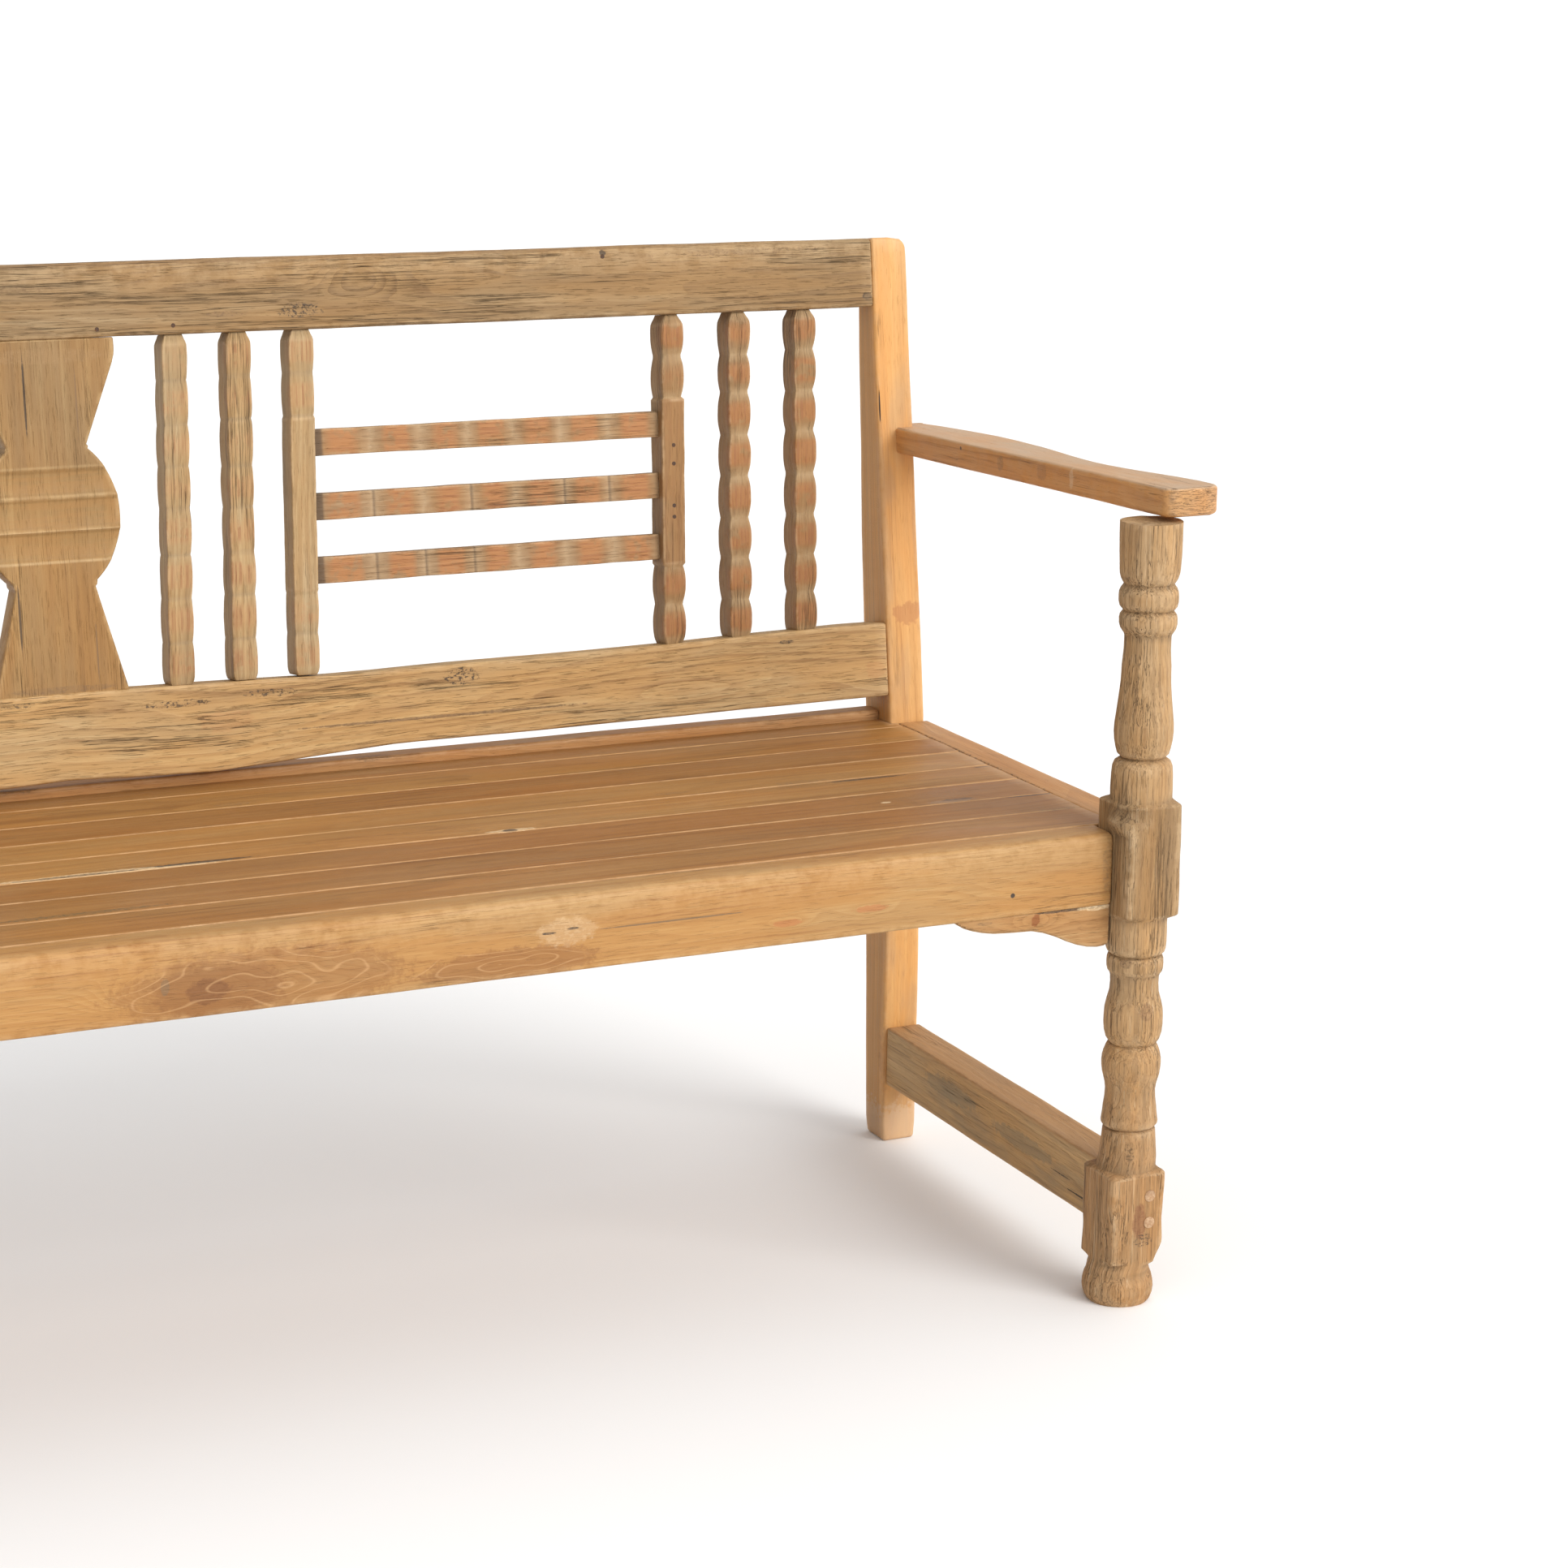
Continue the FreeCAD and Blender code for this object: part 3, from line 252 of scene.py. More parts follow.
# where hands and weather have rounded the edges, and where dirt has stayed in the hollows
handled, takes, gives = group_of(
    "Handled edges", {"Place": ("Vector", None)}, {"Worn": "Float", "Hollow": "Float"})
patchy = stretched_noise(handled, takes["Place"], (60, 60, 60), 4.0, 0.65)
for label, low, high in (("Worn", 0.34, 0.62), ("Hollow", 0.25, 0.55)):
    told = put(handled, "ShaderNodeAttribute", attribute_name=label.lower()).outputs["Fac"]
    handled.links.new(sums(handled, "MULTIPLY", told, within(handled, patchy, low, high)), gives[label])

# one mark on the wood, such as a stain, a filled patch or a hole, at a given place
mark, takes, gives = group_of(
    "Mark",
    {"Place": ("Vector", None), "Centre": ("Vector", None), "Reach": ("Vector", (0.02, 0.02, 0.02)),
     "Ragged": ("Float", 0.5), "Broken": ("Float", 0.0)},
    {"Mask": "Float", "Nearness": "Float", "Contours": "Float"})
away = put(mark, "ShaderNodeVectorMath", {0: takes["Place"], 1: takes["Centre"]},
           operation="SUBTRACT").outputs[0]
away = put(mark, "ShaderNodeVectorMath", {0: away, 1: takes["Reach"]}, operation="DIVIDE").outputs[0]
distance = put(mark, "ShaderNodeVectorMath", {0: away}, operation="LENGTH").outputs["Value"]
torn = sums(mark, "SUBTRACT", stretched_noise(mark, takes["Place"], (170, 170, 170), 4.0, 0.65), 0.5)
edge_distance = sums(mark, "MULTIPLY_ADD", torn, sums(mark, "MULTIPLY", takes["Ragged"], 3.0), distance)
solid = within(mark, edge_distance, 0.75, 1.0, 1.0, 0.0)
specks = within(mark, stretched_noise(mark, takes["Place"], (260, 420, 420), 3.0, 0.7), 0.5, 0.58)
kept = sums(mark, "MULTIPLY_ADD", sums(mark, "SUBTRACT", specks, 1.0), takes["Broken"], 1.0)
mark.links.new(sums(mark, "MULTIPLY", solid, kept), gives["Mask"])
near = sums(mark, "POWER", 2.718, sums(mark, "MULTIPLY", sums(mark, "MULTIPLY", distance, distance), -1.0))
mark.links.new(near, gives["Nearness"])
swept = sums(mark, "SUBTRACT", stretched_noise(mark, takes["Place"], (14, 30, 34), 1.0, 0.5), 0.5)
swept = sums(mark, "MULTIPLY_ADD", swept, 1.5, distance)
rungs = sums(mark, "ABSOLUTE",
             sums(mark, "SUBTRACT", sums(mark, "FRACT", sums(mark, "MULTIPLY", swept, 4.2)), 0.5))
mark.links.new(within(mark, rungs, 0.0, 0.13, 1.0, 0.0), gives["Contours"])


def new_teak(name):
    """A new material, its node tree, the grain's place and the object's place."""
    material = bpy.data.materials.new(name)
    material.use_nodes = True
    tree = material.node_tree
    grain = put(tree, "ShaderNodeAttribute", attribute_name="grain").outputs["Vector"]
    place = put(tree, "ShaderNodeTexCoord").outputs["Object"]
    return material, tree, grain, place


def surface(tree, colour, roughness, height, depth, specular=0.3, coat=0.0):
    """Joins colour, roughness and relief to the material's own shader."""
    shader = tree.nodes["Principled BSDF"]
    shader.inputs["Specular IOR Level"].default_value = specular
    shader.inputs["Coat Weight"].default_value = coat
    shader.inputs["Coat Roughness"].default_value = 0.3
    relief = put(tree, "ShaderNodeBump", {"Height": height, "Strength": 1.0, "Distance": depth})
    tree.links.new(colour, shader.inputs["Base Color"])
    tree.links.new(roughness, shader.inputs["Roughness"])
    tree.links.new(relief.outputs[0], shader.inputs["Normal"])


leg_teak, tree, grain, place = new_teak("Greyed turned teak")
teak = use(tree, teak_grain, Grain=grain, Rings=210.0, Figure=0.30, Pale=(0.57, 0.391, 0.221, 1),
           Middle=(0.437, 0.275, 0.134, 1), Deep=(0.275, 0.154, 0.0666, 1))
checks = use(tree, open_grain, Grain=grain, Amount=0.62, Width=0.015)
edges = use(tree, handled, Place=place)
streaks = stretched_noise(tree, grain, (4, 170, 170), 4.0, 0.65)
height_up = put(tree, "ShaderNodeSeparateXYZ", {0: place}).outputs["Z"]
low_down = within(tree, height_up, 0.12, 0.30, 0.55, 0.0)
colour = tint(tree, low_down, teak["Color"], (0.80, 0.66, 0.54, 1), "MULTIPLY")
colour = tint(tree, within(tree, streaks, 0.48, 0.66, 0.0, 0.6), colour, (0.25, 0.145, 0.065, 1))
colour = tint(tree, within(tree, streaks, 0.30, 0.42, 0.45, 0.0), colour, (0.64, 0.47, 0.29, 1))
in_block = sums(tree, "MULTIPLY", within(tree, height_up, 0.366, 0.376),
                within(tree, height_up, 0.474, 0.484, 1.0, 0.0))
colour = tint(tree, sums(tree, "MULTIPLY", in_block, 0.85), colour, (0.68, 0.66, 0.62, 1), "MULTIPLY")
colour = tint(tree, sums(tree, "MULTIPLY", edges["Worn"], 0.35), colour, (0.66, 0.47, 0.28, 1))
colour = tint(tree, sums(tree, "MULTIPLY", checks["Scratches"], 0.40), colour, (0.70, 0.52, 0.32, 1))
colour = tint(tree, sums(tree, "MULTIPLY", checks["Cracks"], 0.65), colour, (0.14, 0.085, 0.045, 1))
colour = tint(tree, sums(tree, "MULTIPLY", edges["Hollow"], 0.55), colour, (0.22, 0.135, 0.065, 1))
for centre, spread, tone, share, broken in (
        ((0.857, -0.293, 0.083), (0.008, 0.02, 0.020), (0.22, 0.09, 0.04, 1), 0.8, 0.3),
        ((0.862, -0.293, 0.064), (0.011, 0.02, 0.007), (0.07, 0.045, 0.03, 1), 0.8, 0.9),
        ((0.858, -0.293, 0.284), (0.008, 0.02, 0.010), (0.20, 0.10, 0.05, 1), 0.6, 0.5),
        ((0.847, -0.290, 0.150), (0.005, 0.02, 0.011), (0.10, 0.06, 0.03, 1), 0.7, 0.7),
        ((0.839, -0.285, 0.330), (0.005, 0.02, 0.005), (0.12, 0.07, 0.04, 1), 0.7, 0.6),
        ((0.872, -0.293, 0.440), (0.009, 0.02, 0.045), (0.25, 0.15, 0.07, 1), 0.55, 0.0)):
    stain = use(tree, mark, Place=place, Centre=centre, Reach=spread, Ragged=0.35, Broken=broken)
    colour = tint(tree, sums(tree, "MULTIPLY", stain["Mask"], share), colour, tone)
relief = sums(tree, "MULTIPLY_ADD", checks["Cracks"], -0.9, teak["Height"])
relief = sums(tree, "MULTIPLY_ADD", checks["Scratches"], -0.25, relief)
surface(tree, colour, within(tree, teak["Height"], 0.0, 1.0, 0.72, 0.58), relief, 0.0011)

for side, hand in ((1, "right"), (-1, "left")):
    heights = {row[0] for row in leg_turning}
    for low, high in ((38, 130), (370, 480)):
        heights |= {low + step * 1.2 for step in range(6)} | {high - step * 1.2 for step in range(6)}
        heights |= {low + (high - low) * step / 18 for step in range(1, 18)}
    heights |= {690 + step * 6 for step in range(8)}
    heights = sorted(height for height in heights if height <= leg_top)
    leg = bmesh.new()
    outline = [leg.verts.new((0, 0, 0))]
    for height in heights:
        outline.append(leg.verts.new((along(leg_turning, height) / 1000, 0, height / 1000)))
    outline.append(leg.verts.new((0, 0, heights[-1] / 1000)))
    strip = [leg.edges.new(pair) for pair in zip(outline, outline[1:])]
    bmesh.ops.spin(leg, geom=outline + strip, cent=(0, 0, 0), axis=(0, 0, 1), angle=math.tau, steps=72,
                   use_merge=True, use_duplicate=False)
    bmesh.ops.remove_doubles(leg, verts=leg.verts[:], dist=0.000002)
    for point in leg.verts:
        x, y, z = point.co
        squareness = 0.0
        for low, high in (block_low, block_high):
            lip = 0.0045 + 0.002 * noise.noise(Vector((x * 90, y * 90, low * 50 + side)))
            squareness = max(squareness,
                             ease_in(z, low - 0.0005, low + lip) * ease_in(-z, -high - 0.0005, -high + lip))
        reach = math.hypot(x, y)
        if reach > 0.001 and squareness > 0:
            across, through = abs(x) / reach, abs(y) / reach
            wear = 9 + 5 * noise.noise(Vector((x * 25, y * 25, z * 35 + side * 4)))
            block = half_block / (across ** wear + through ** wear) ** (1 / wear)
            spread = reach + (block - reach) * squareness * min(1.0, reach / 0.02)
            point.co.x *= spread / reach
            point.co.y *= spread / reach
        if reach > 0.015:
            point.co += handwork(Vector((x, y, z * 0.6)), 0.03, 0.0007, side)
            point.co += handwork(Vector((x, y, z * 0.3)), 0.009, 0.00028, side + 2)
        inner_low = ease_in(-point.co.x - point.co.y, 0.034, 0.052) * ease_in(z, 0.445, 0.478)
        point.co += Vector((0.006, 0.006, 0)) * inner_low * ease_in(-z, -0.483, -0.470)
        toe = ease_in(point.co.x, 0.014, 0.029) * ease_in(-z, -0.062, -0.038)
        point.co.x -= 0.009 * toe * ease_in(z, 0.030, 0.040)
        heel = (ease_in(-point.co.x - point.co.y, 0.030, 0.050) * ease_in(-z, -0.105, -0.05)
                * ease_in(z, 0.03, 0.05))
        point.co += Vector((0.004, 0.004, 0)) * heel
        lip = ease_in(-point.co.x, 0.018, 0.027) * ease_in(z, 0.4535, 0.4575) * ease_in(-z, -0.473, -0.462)
        point.co.x -= 0.006 * lip * ease_in(-point.co.y, -0.012, 0.002)
        point.co.z = max(0.0, point.co.z) if z > 0.0005 else 0.0
    remember_grain(leg, 3 + side, Matrix(((0, 0, 1), (1, 0, 0), (0, 1, 0))))
    for point in leg.verts:
        z = point.co.z
        inset = (0.006 * ease_in(-z, -0.042, -0.030)
                 + 0.003 * ease_in(-z, -0.135, -0.126) * ease_in(z, 0.030, 0.042))
        inset = max(inset, 0.003 * ease_in(-z, -0.135, -0.126))
        point.co.x = side * (point.co.x + leg_axis - inset)
        point.co.y += leg_middle_y
    fit("turned_leg_" + hand, leg, leg_teak, "teak_turned", "front_leg_" + hand)

# ---------------------------------------------------------------------------------------------
# Back posts. Sawn from thick planks, upright to the seat and raked above it, tapering to the top.
# Planed smooth, so the orange of the teak shows; the outer top corner is rounded off.
# ---------------------------------------------------------------------------------------------
recline = math.radians(7.5)
seat_top = 0.450
post_low, post_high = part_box("back_post_right")
post_face = post_low.y
post_inner, post_width = post_low.x, post_high.x - post_low.x
post_length = seat_top + 0.489


def stock(length, depth, width, ease, divisions, seed):
    """A sawn length of teak along X with its face at Y 0 and its lower edge at Z 0. Its edges are
    eased, and it is divided along its length."""
    timber = bmesh.new()
    middle = Matrix.Translation((length / 2, depth / 2, width / 2))
    bmesh.ops.create_cube(timber, size=1, matrix=middle @ Matrix.Diagonal((length, depth, width, 1)))
    bmesh.ops.bevel(timber, geom=timber.edges[:], offset=ease, segments=3, profile=0.5, affect="EDGES",
                    material=-1)
    for axis, size in ((Vector((0, 1, 0)), depth), (Vector((0, 0, 1)), width)):
        for cut in (ease * 2, size / 2, size - ease * 2):
            bmesh.ops.bisect_plane(timber, geom=timber.verts[:] + timber.edges[:] + timber.faces[:],
                                   plane_co=axis * cut, plane_no=axis)
    lengthwise = [edge for edge in timber.edges if abs(edge.verts[0].co.x - edge.verts[1].co.x) > length / 2]
    bmesh.ops.subdivide_edges(timber, edges=lengthwise, cuts=divisions - 1, use_grid_fill=True)
    remember_grain(timber, seed)
    return timber


def up_the_back(x, depth, height):
    """A place on the raked back: depth behind its face, height up its slope from the seat."""
    y = post_face + depth * math.cos(recline) + height * math.sin(recline)
    z = seat_top - depth * math.sin(recline) + height * math.cos(recline)
    return Vector((x, y, z))


post_teak, tree, grain, place = new_teak("Smooth orange teak")
crack = use(tree, mark, Place=place, Centre=(0.8452, 0.2422, 0.770), Reach=(0.0008, 0.004, 0.022),
            Ragged=0.04)
joint_glow = use(tree, mark, Place=place, Centre=(0.868, 0.215, 0.560), Reach=(0.018, 0.03, 0.012),
                 Ragged=0.5)
teak = use(tree, teak_grain, Grain=grain, Rings=95.0, Figure=0.22, Pale=(0.7, 0.401, 0.148, 1),
           Middle=(0.618, 0.329, 0.113, 1), Deep=(0.408, 0.185, 0.0541, 1))
checks = use(tree, open_grain, Grain=grain, Amount=0.12, Width=0.012)
edges = use(tree, handled, Place=place)
bare_foot = use(tree, mark, Place=place, Centre=(0.862, 0.22, 0.004), Reach=(0.05, 0.06, 0.042), Ragged=0.5)
stretcher_joint = use(tree, mark, Place=place, Centre=(0.846, 0.185, 0.092), Reach=(0.012, 0.03, 0.045),
                      Ragged=0.3)
dull = within(tree, stretched_noise(tree, grain, (7, 26, 26), 3.0, 0.6), 0.46, 0.62, 0.0, 0.45)
colour = tint(tree, dull, teak["Color"], (0.45, 0.27, 0.135, 1))
colour = tint(tree, sums(tree, "MULTIPLY", bare_foot["Mask"], 0.5), colour, (0.62, 0.45, 0.31, 1))
colour = tint(tree, sums(tree, "MULTIPLY", stretcher_joint["Mask"], 0.35), colour, (0.34, 0.16, 0.06, 1))
colour = tint(tree, sums(tree, "MULTIPLY", edges["Worn"], 0.35), colour, (0.68, 0.43, 0.22, 1))
colour = tint(tree, sums(tree, "MULTIPLY", joint_glow["Mask"], 0.55), colour, (0.42, 0.17, 0.06, 1))
colour = tint(tree, sums(tree, "MULTIPLY", checks["Cracks"], 0.6), colour, (0.16, 0.08, 0.035, 1))
colour = tint(tree, crack["Mask"], colour, (0.05, 0.03, 0.02, 1))
colour = tint(tree, sums(tree, "MULTIPLY", edges["Hollow"], 0.5), colour, (0.20, 0.11, 0.05, 1))
relief = sums(tree, "MULTIPLY_ADD", checks["Cracks"], -0.8, teak["Height"])
relief = sums(tree, "MULTIPLY_ADD", crack["Mask"], -3.0, relief)
surface(tree, colour, within(tree, teak["Cloud"], 0.2, 0.8, 0.42, 0.58), relief, 0.00035, 0.35)

for side, hand in ((1, "right"), (-1, "left")):
    post = stock(post_length, 1.0, post_width, 0.0032, 64, 11 + side)
    for point in post.verts:
        s, share, w = point.co
        height = s - seat_top
        depth = along([(-0.45, 0.039), (-0.08, 0.0545), (-0.02, 0.057), (0.08, 0.0555), (0.489, 0.033)],
                      height)
        from_face = along([(0.0, 0.0), (0.0064, 0.0064), (0.9936, depth - 0.0064), (1.0, depth)], share)
        drift = handwork(Vector((s, from_face, w)), 0.12, 0.0008, side + 5)
        drift += handwork(Vector((s, from_face, w)), 0.02, 0.00018, side + 6)
        lean = recline * ease_in(height, -0.03, 0.05)
        face_y = post_face + max(0.0, height) * math.sin(recline)
        face_z = seat_top + (height if height < 0 else height * math.cos(recline))
        top_drop = 0.0
        if s > post_length - 0.02 and w > post_width - 0.012:
            over = (w - post_width + 0.012) / 0.012
            top_drop = 0.0085 * over * over * ease_in(s, post_length - 0.02, post_length)
        foot_wear = ease_in(-s, -0.012, 0.0) * 0.0015
        x = post_inner + w + drift.x + (foot_wear if w < post_width / 2 else -foot_wear)
        z = face_z - from_face * math.sin(lean) - top_drop
        y = face_y + from_face * math.cos(lean) + drift.y
        point.co = Vector((side * x, y, max(0.0, z)))
    fit("raked_post_" + hand, post, post_teak, "teak_orange", "back_post_" + hand)

# ---------------------------------------------------------------------------------------------
# Top and lower back rails. Reclaimed boards tenoned between the posts, with weathered faces that
# are full of open grain, a few nail heads and dark stains. The lower one has a worn, wavy edge.
# ---------------------------------------------------------------------------------------------
rail_half = post_inner
rail_depth = 0.032


def rail_finish(name, pale, middle, deep, amount, marks, swirls, rings=150.0):
    """Weathered board with open checks, stains at the given places, and knots that bend its grain."""
    material, tree, grain, place = new_teak(name)
    swirl = None
    for centre, spread, push in swirls:
        knot = use(tree, mark, Place=place, Centre=centre, Reach=spread)["Nearness"]
        swirl = sums(tree, "MULTIPLY_ADD", knot, push, swirl if swirl else 0.0)
    teak = use(tree, teak_grain, Grain=grain, Rings=rings, Figure=0.42, Pale=pale, Middle=middle, Deep=deep)
    if swirl:
        tree.links.new(swirl, tree.nodes[-1].inputs["Swirl"])
    checks = use(tree, open_grain, Grain=grain, Amount=amount, Width=0.016)
    edges = use(tree, handled, Place=place)
    colour = tint(tree, sums(tree, "MULTIPLY", edges["Worn"], 0.30), teak["Color"], (0.66, 0.47, 0.27, 1))
    colour = tint(tree, sums(tree, "MULTIPLY", checks["Scratches"], 0.45), colour, deep)
    for centre, spread, tone, share, broken in marks:
        stain = use(tree, mark, Place=place, Centre=centre, Reach=spread, Ragged=0.45, Broken=broken)
        colour = tint(tree, sums(tree, "MULTIPLY", stain["Mask"], share), colour, tone)
    colour = tint(tree, sums(tree, "MULTIPLY", checks["Cracks"], 0.72), colour, (0.13, 0.08, 0.04, 1))
    colour = tint(tree, sums(tree, "MULTIPLY", edges["Hollow"], 0.5), colour, (0.18, 0.11, 0.05, 1))
    relief = sums(tree, "MULTIPLY_ADD", checks["Cracks"], -1.0, teak["Height"])
    surface(tree, colour, within(tree, teak["Height"], 0.0, 1.0, 0.70, 0.56), relief, 0.0008)
    return material


soot, umber, rust = (0.04, 0.03, 0.025, 1), (0.20, 0.12, 0.06, 1), (0.45, 0.22, 0.09, 1)
top_rail_teak = rail_finish(
    "Weathered top rail", (0.373, 0.258, 0.139, 1), (0.28, 0.178, 0.084, 1), (0.167, 0.0979, 0.042, 1), 0.62,
    [((0.245, 0.263, 0.885), (0.024, 0.03, 0.008), soot, 0.85, 0.95),
     ((0.175, 0.263, 0.884), (0.022, 0.03, 0.003), umber, 0.8, 0.8),
     ((0.552, 0.268, 0.928), (0.004, 0.03, 0.003), soot, 0.9, 0.2),
     ((-0.05, 0.26, 0.912), (0.07, 0.03, 0.004), umber, 0.6, 0.8),
     ((0.70, 0.265, 0.925), (0.10, 0.03, 0.004), umber, 0.6, 0.8),
     ((0.835, 0.265, 0.878), (0.006, 0.03, 0.004), soot, 0.8, 0.5),
     ((0.0, 0.26, 0.934), (0.84, 0.03, 0.004), (0.22, 0.12, 0.055, 1), 0.5, 0.35)],
    [((0.305, 0.265, 0.913), (0.035, 0.05, 0.016), -0.030),
     ((0.47, 0.265, 0.925), (0.03, 0.05, 0.012), 0.014),
     ((-0.45, 0.265, 0.905), (0.04, 0.05, 0.014), 0.022)])
lower_rail_teak = rail_finish(
    "Weathered lower rail", (0.543, 0.388, 0.199, 1), (0.444, 0.286, 0.131, 1), (0.271, 0.154, 0.0636, 1),
    0.55,
    [((0.385, 0.213, 0.534), (0.020, 0.03, 0.010), soot, 0.85, 0.95),
     ((0.105, 0.213, 0.531), (0.035, 0.03, 0.004), soot, 0.8, 0.95),
     ((0.195, 0.213, 0.534), (0.030, 0.03, 0.004), soot, 0.8, 0.95),
     ((0.150, 0.208, 0.512), (0.030, 0.03, 0.012), rust, 0.35, 0.3),
     ((-0.07, 0.213, 0.541), (0.05, 0.03, 0.003), soot, 0.7, 0.8),
     ((0.36, 0.205, 0.498), (0.16, 0.03, 0.0016), umber, 0.9, 0.2),
     ((0.73, 0.215, 0.541), (0.01, 0.03, 0.002), soot, 0.8, 0.6),
     ((0.828, 0.208, 0.505), (0.012, 0.03, 0.010), rust, 0.4, 0.2)],
    [((0.62, 0.21, 0.50), (0.08, 0.05, 0.012), 0.018),
     ((-0.30, 0.21, 0.51), (0.05, 0.05, 0.016), -0.02)])

top_rail_base, top_rail_height = 0.489 - 0.068, 0.068
top_rail = stock(rail_half * 2, rail_depth, top_rail_height, 0.0028, 150, 21)
for point in top_rail.verts:
    x, depth, height = point.co
    x -= rail_half
    drift = handwork(Vector((x, depth, height)), 0.10, 0.0007, 21)
    drift += handwork(Vector((x, depth, height)), 0.02, 0.0002, 22)
    crown = 0.0014 * ease_in(height, top_rail_height - 0.006, top_rail_height) * ease_in(-depth, -0.006, 0.0)
    point.co = up_the_back(x, depth + crown + abs(drift.y) * 0.5, top_rail_base + height - crown + drift.z)
fit("weathered_top_rail", top_rail, top_rail_teak, "teak_rail", "top_rail")

lower_rail_base, lower_rail_height = 0.0265, 0.0715
worn_top = [(0, 0.0012), (0.132, 0.0008), (0.248, -0.0018), (0.378, -0.0012), (0.512, 0.0), (0.651, 0.0022),
            (0.795, 0.0045), (0.84, 0.0045)]
worn_foot = [(0, -0.0070), (0.06, -0.0095), (0.14, -0.0105), (0.20, -0.0080), (0.26, -0.0040),
             (0.31, -0.0010), (0.40, -0.0005), (0.60, 0.0005), (0.795, 0.0022), (0.84, 0.0022)]
lower_rail = stock(rail_half * 2, rail_depth, lower_rail_height, 0.0028, 150, 27)
for point in lower_rail.verts:
    x, depth, height = point.co
    x -= rail_half
    share = height / lower_rail_height
    edge = along(worn_top, abs(x)) * share + along(worn_foot, abs(x)) * (1 - share)
    drift = handwork(Vector((x, depth, height)), 0.11, 0.0009, 27)
    drift += handwork(Vector((x, depth, height)), 0.018, 0.0002, 28)
    point.co = up_the_back(x, depth + drift.y * 0.6, lower_rail_base + height + edge + drift.z)
fit("weathered_lower_rail", lower_rail, lower_rail_teak, "teak_rail", "lower_back_rail")

# ---------------------------------------------------------------------------------------------
# Centre splat. A board sawn to an hourglass with a round belly, the belly gouged across in three
# flutes. It is tenoned into both rails; its head and foot have split along the grain.
# ---------------------------------------------------------------------------------------------
panel_foot = lower_rail_base + lower_rail_height
panel_height = top_rail_base - panel_foot
splat_depth = 0.030
splat_half = [(0, 0.0620), (0.101, 0.0360)]
belly_middle, belly_half, belly_radius = 0.163, 0.0648, 0.0812
for step in range(1, 24):
    rise = -0.062 + 0.124 * step / 24
    bulge = math.sqrt(belly_radius ** 2 - rise ** 2) - belly_radius
    splat_half.append((belly_middle + rise, belly_half + bulge))
splat_half += [(0.225, 0.0360), (0.300, 0.0655), (0.308, 0.0678), (0.314, 0.0682), (panel_height, 0.0680)]

splat_teak, tree, grain, place = new_teak("Fluted splat teak")
teak = use(tree, teak_grain, Grain=grain, Rings=70.0, Figure=0.12, Pale=(0.39, 0.246, 0.104, 1),
           Middle=(0.309, 0.179, 0.0683, 1), Deep=(0.195, 0.103, 0.0344, 1))
checks = use(tree, open_grain, Grain=grain, Amount=0.34, Width=0.012)
edges = use(tree, handled, Place=place)
flute_share = put(tree, "ShaderNodeAttribute", attribute_name="flute").outputs["Fac"]
ridge_share = put(tree, "ShaderNodeAttribute", attribute_name="ridge").outputs["Fac"]
cross_streaks = stretched_noise(tree, place, (14, 60, 170), 4.0, 0.65)
cross_tone = sums(tree, "MULTIPLY", within(tree, cross_streaks, 0.42, 0.56), flute_share)
upper = within(tree, put(tree, "ShaderNodeSeparateXYZ", {0: place}).outputs["Z"], 0.66, 0.80)
colour = tint(tree, sums(tree, "MULTIPLY", upper, 0.8), teak["Color"], (0.86, 0.90, 1.0, 1), "MULTIPLY")
colour = tint(tree, sums(tree, "MULTIPLY", cross_tone, 0.55), colour, (0.36, 0.18, 0.06, 1))
colour = tint(tree, sums(tree, "MULTIPLY", flute_share, 0.25), colour, (0.40, 0.25, 0.09, 1))
colour = tint(tree, sums(tree, "MULTIPLY", ridge_share, 0.35), colour, (0.62, 0.45, 0.25, 1))
colour = tint(tree, sums(tree, "MULTIPLY", edges["Worn"], 0.30), colour, (0.64, 0.44, 0.22, 1))
for centre, spread, tone, share, broken in (
        ((-0.017, 0.244, 0.820), (0.0012, 0.03, 0.045), soot, 0.8, 0.0),
        ((0.030, 0.242, 0.810), (0.0009, 0.03, 0.035), umber, 0.8, 0.0),
        ((-0.035, 0.222, 0.618), (0.0012, 0.03, 0.034), soot, 0.75, 0.0),
        ((0.034, 0.214, 0.585), (0.0009, 0.03, 0.030), umber, 0.8, 0.0),
        ((0.0, 0.248, 0.852), (0.068, 0.03, 0.008), (0.33, 0.20, 0.09, 1), 0.55, 0.5),
        ((0.0, 0.205, 0.552), (0.062, 0.03, 0.004), umber, 0.6, 0.6)):
    stain = use(tree, mark, Place=place, Centre=centre, Reach=spread, Ragged=0.22, Broken=broken)
    colour = tint(tree, sums(tree, "MULTIPLY", stain["Mask"], share), colour, tone)
colour = tint(tree, sums(tree, "MULTIPLY", checks["Cracks"], 0.6), colour, (0.15, 0.09, 0.04, 1))
colour = tint(tree, sums(tree, "MULTIPLY", edges["Hollow"], 0.35), colour, (0.25, 0.15, 0.06, 1))
relief = sums(tree, "MULTIPLY_ADD", checks["Cracks"], -1.0, teak["Height"])
surface(tree, colour, within(tree, teak["Height"], 0.0, 1.0, 0.66, 0.52), relief, 0.0005)

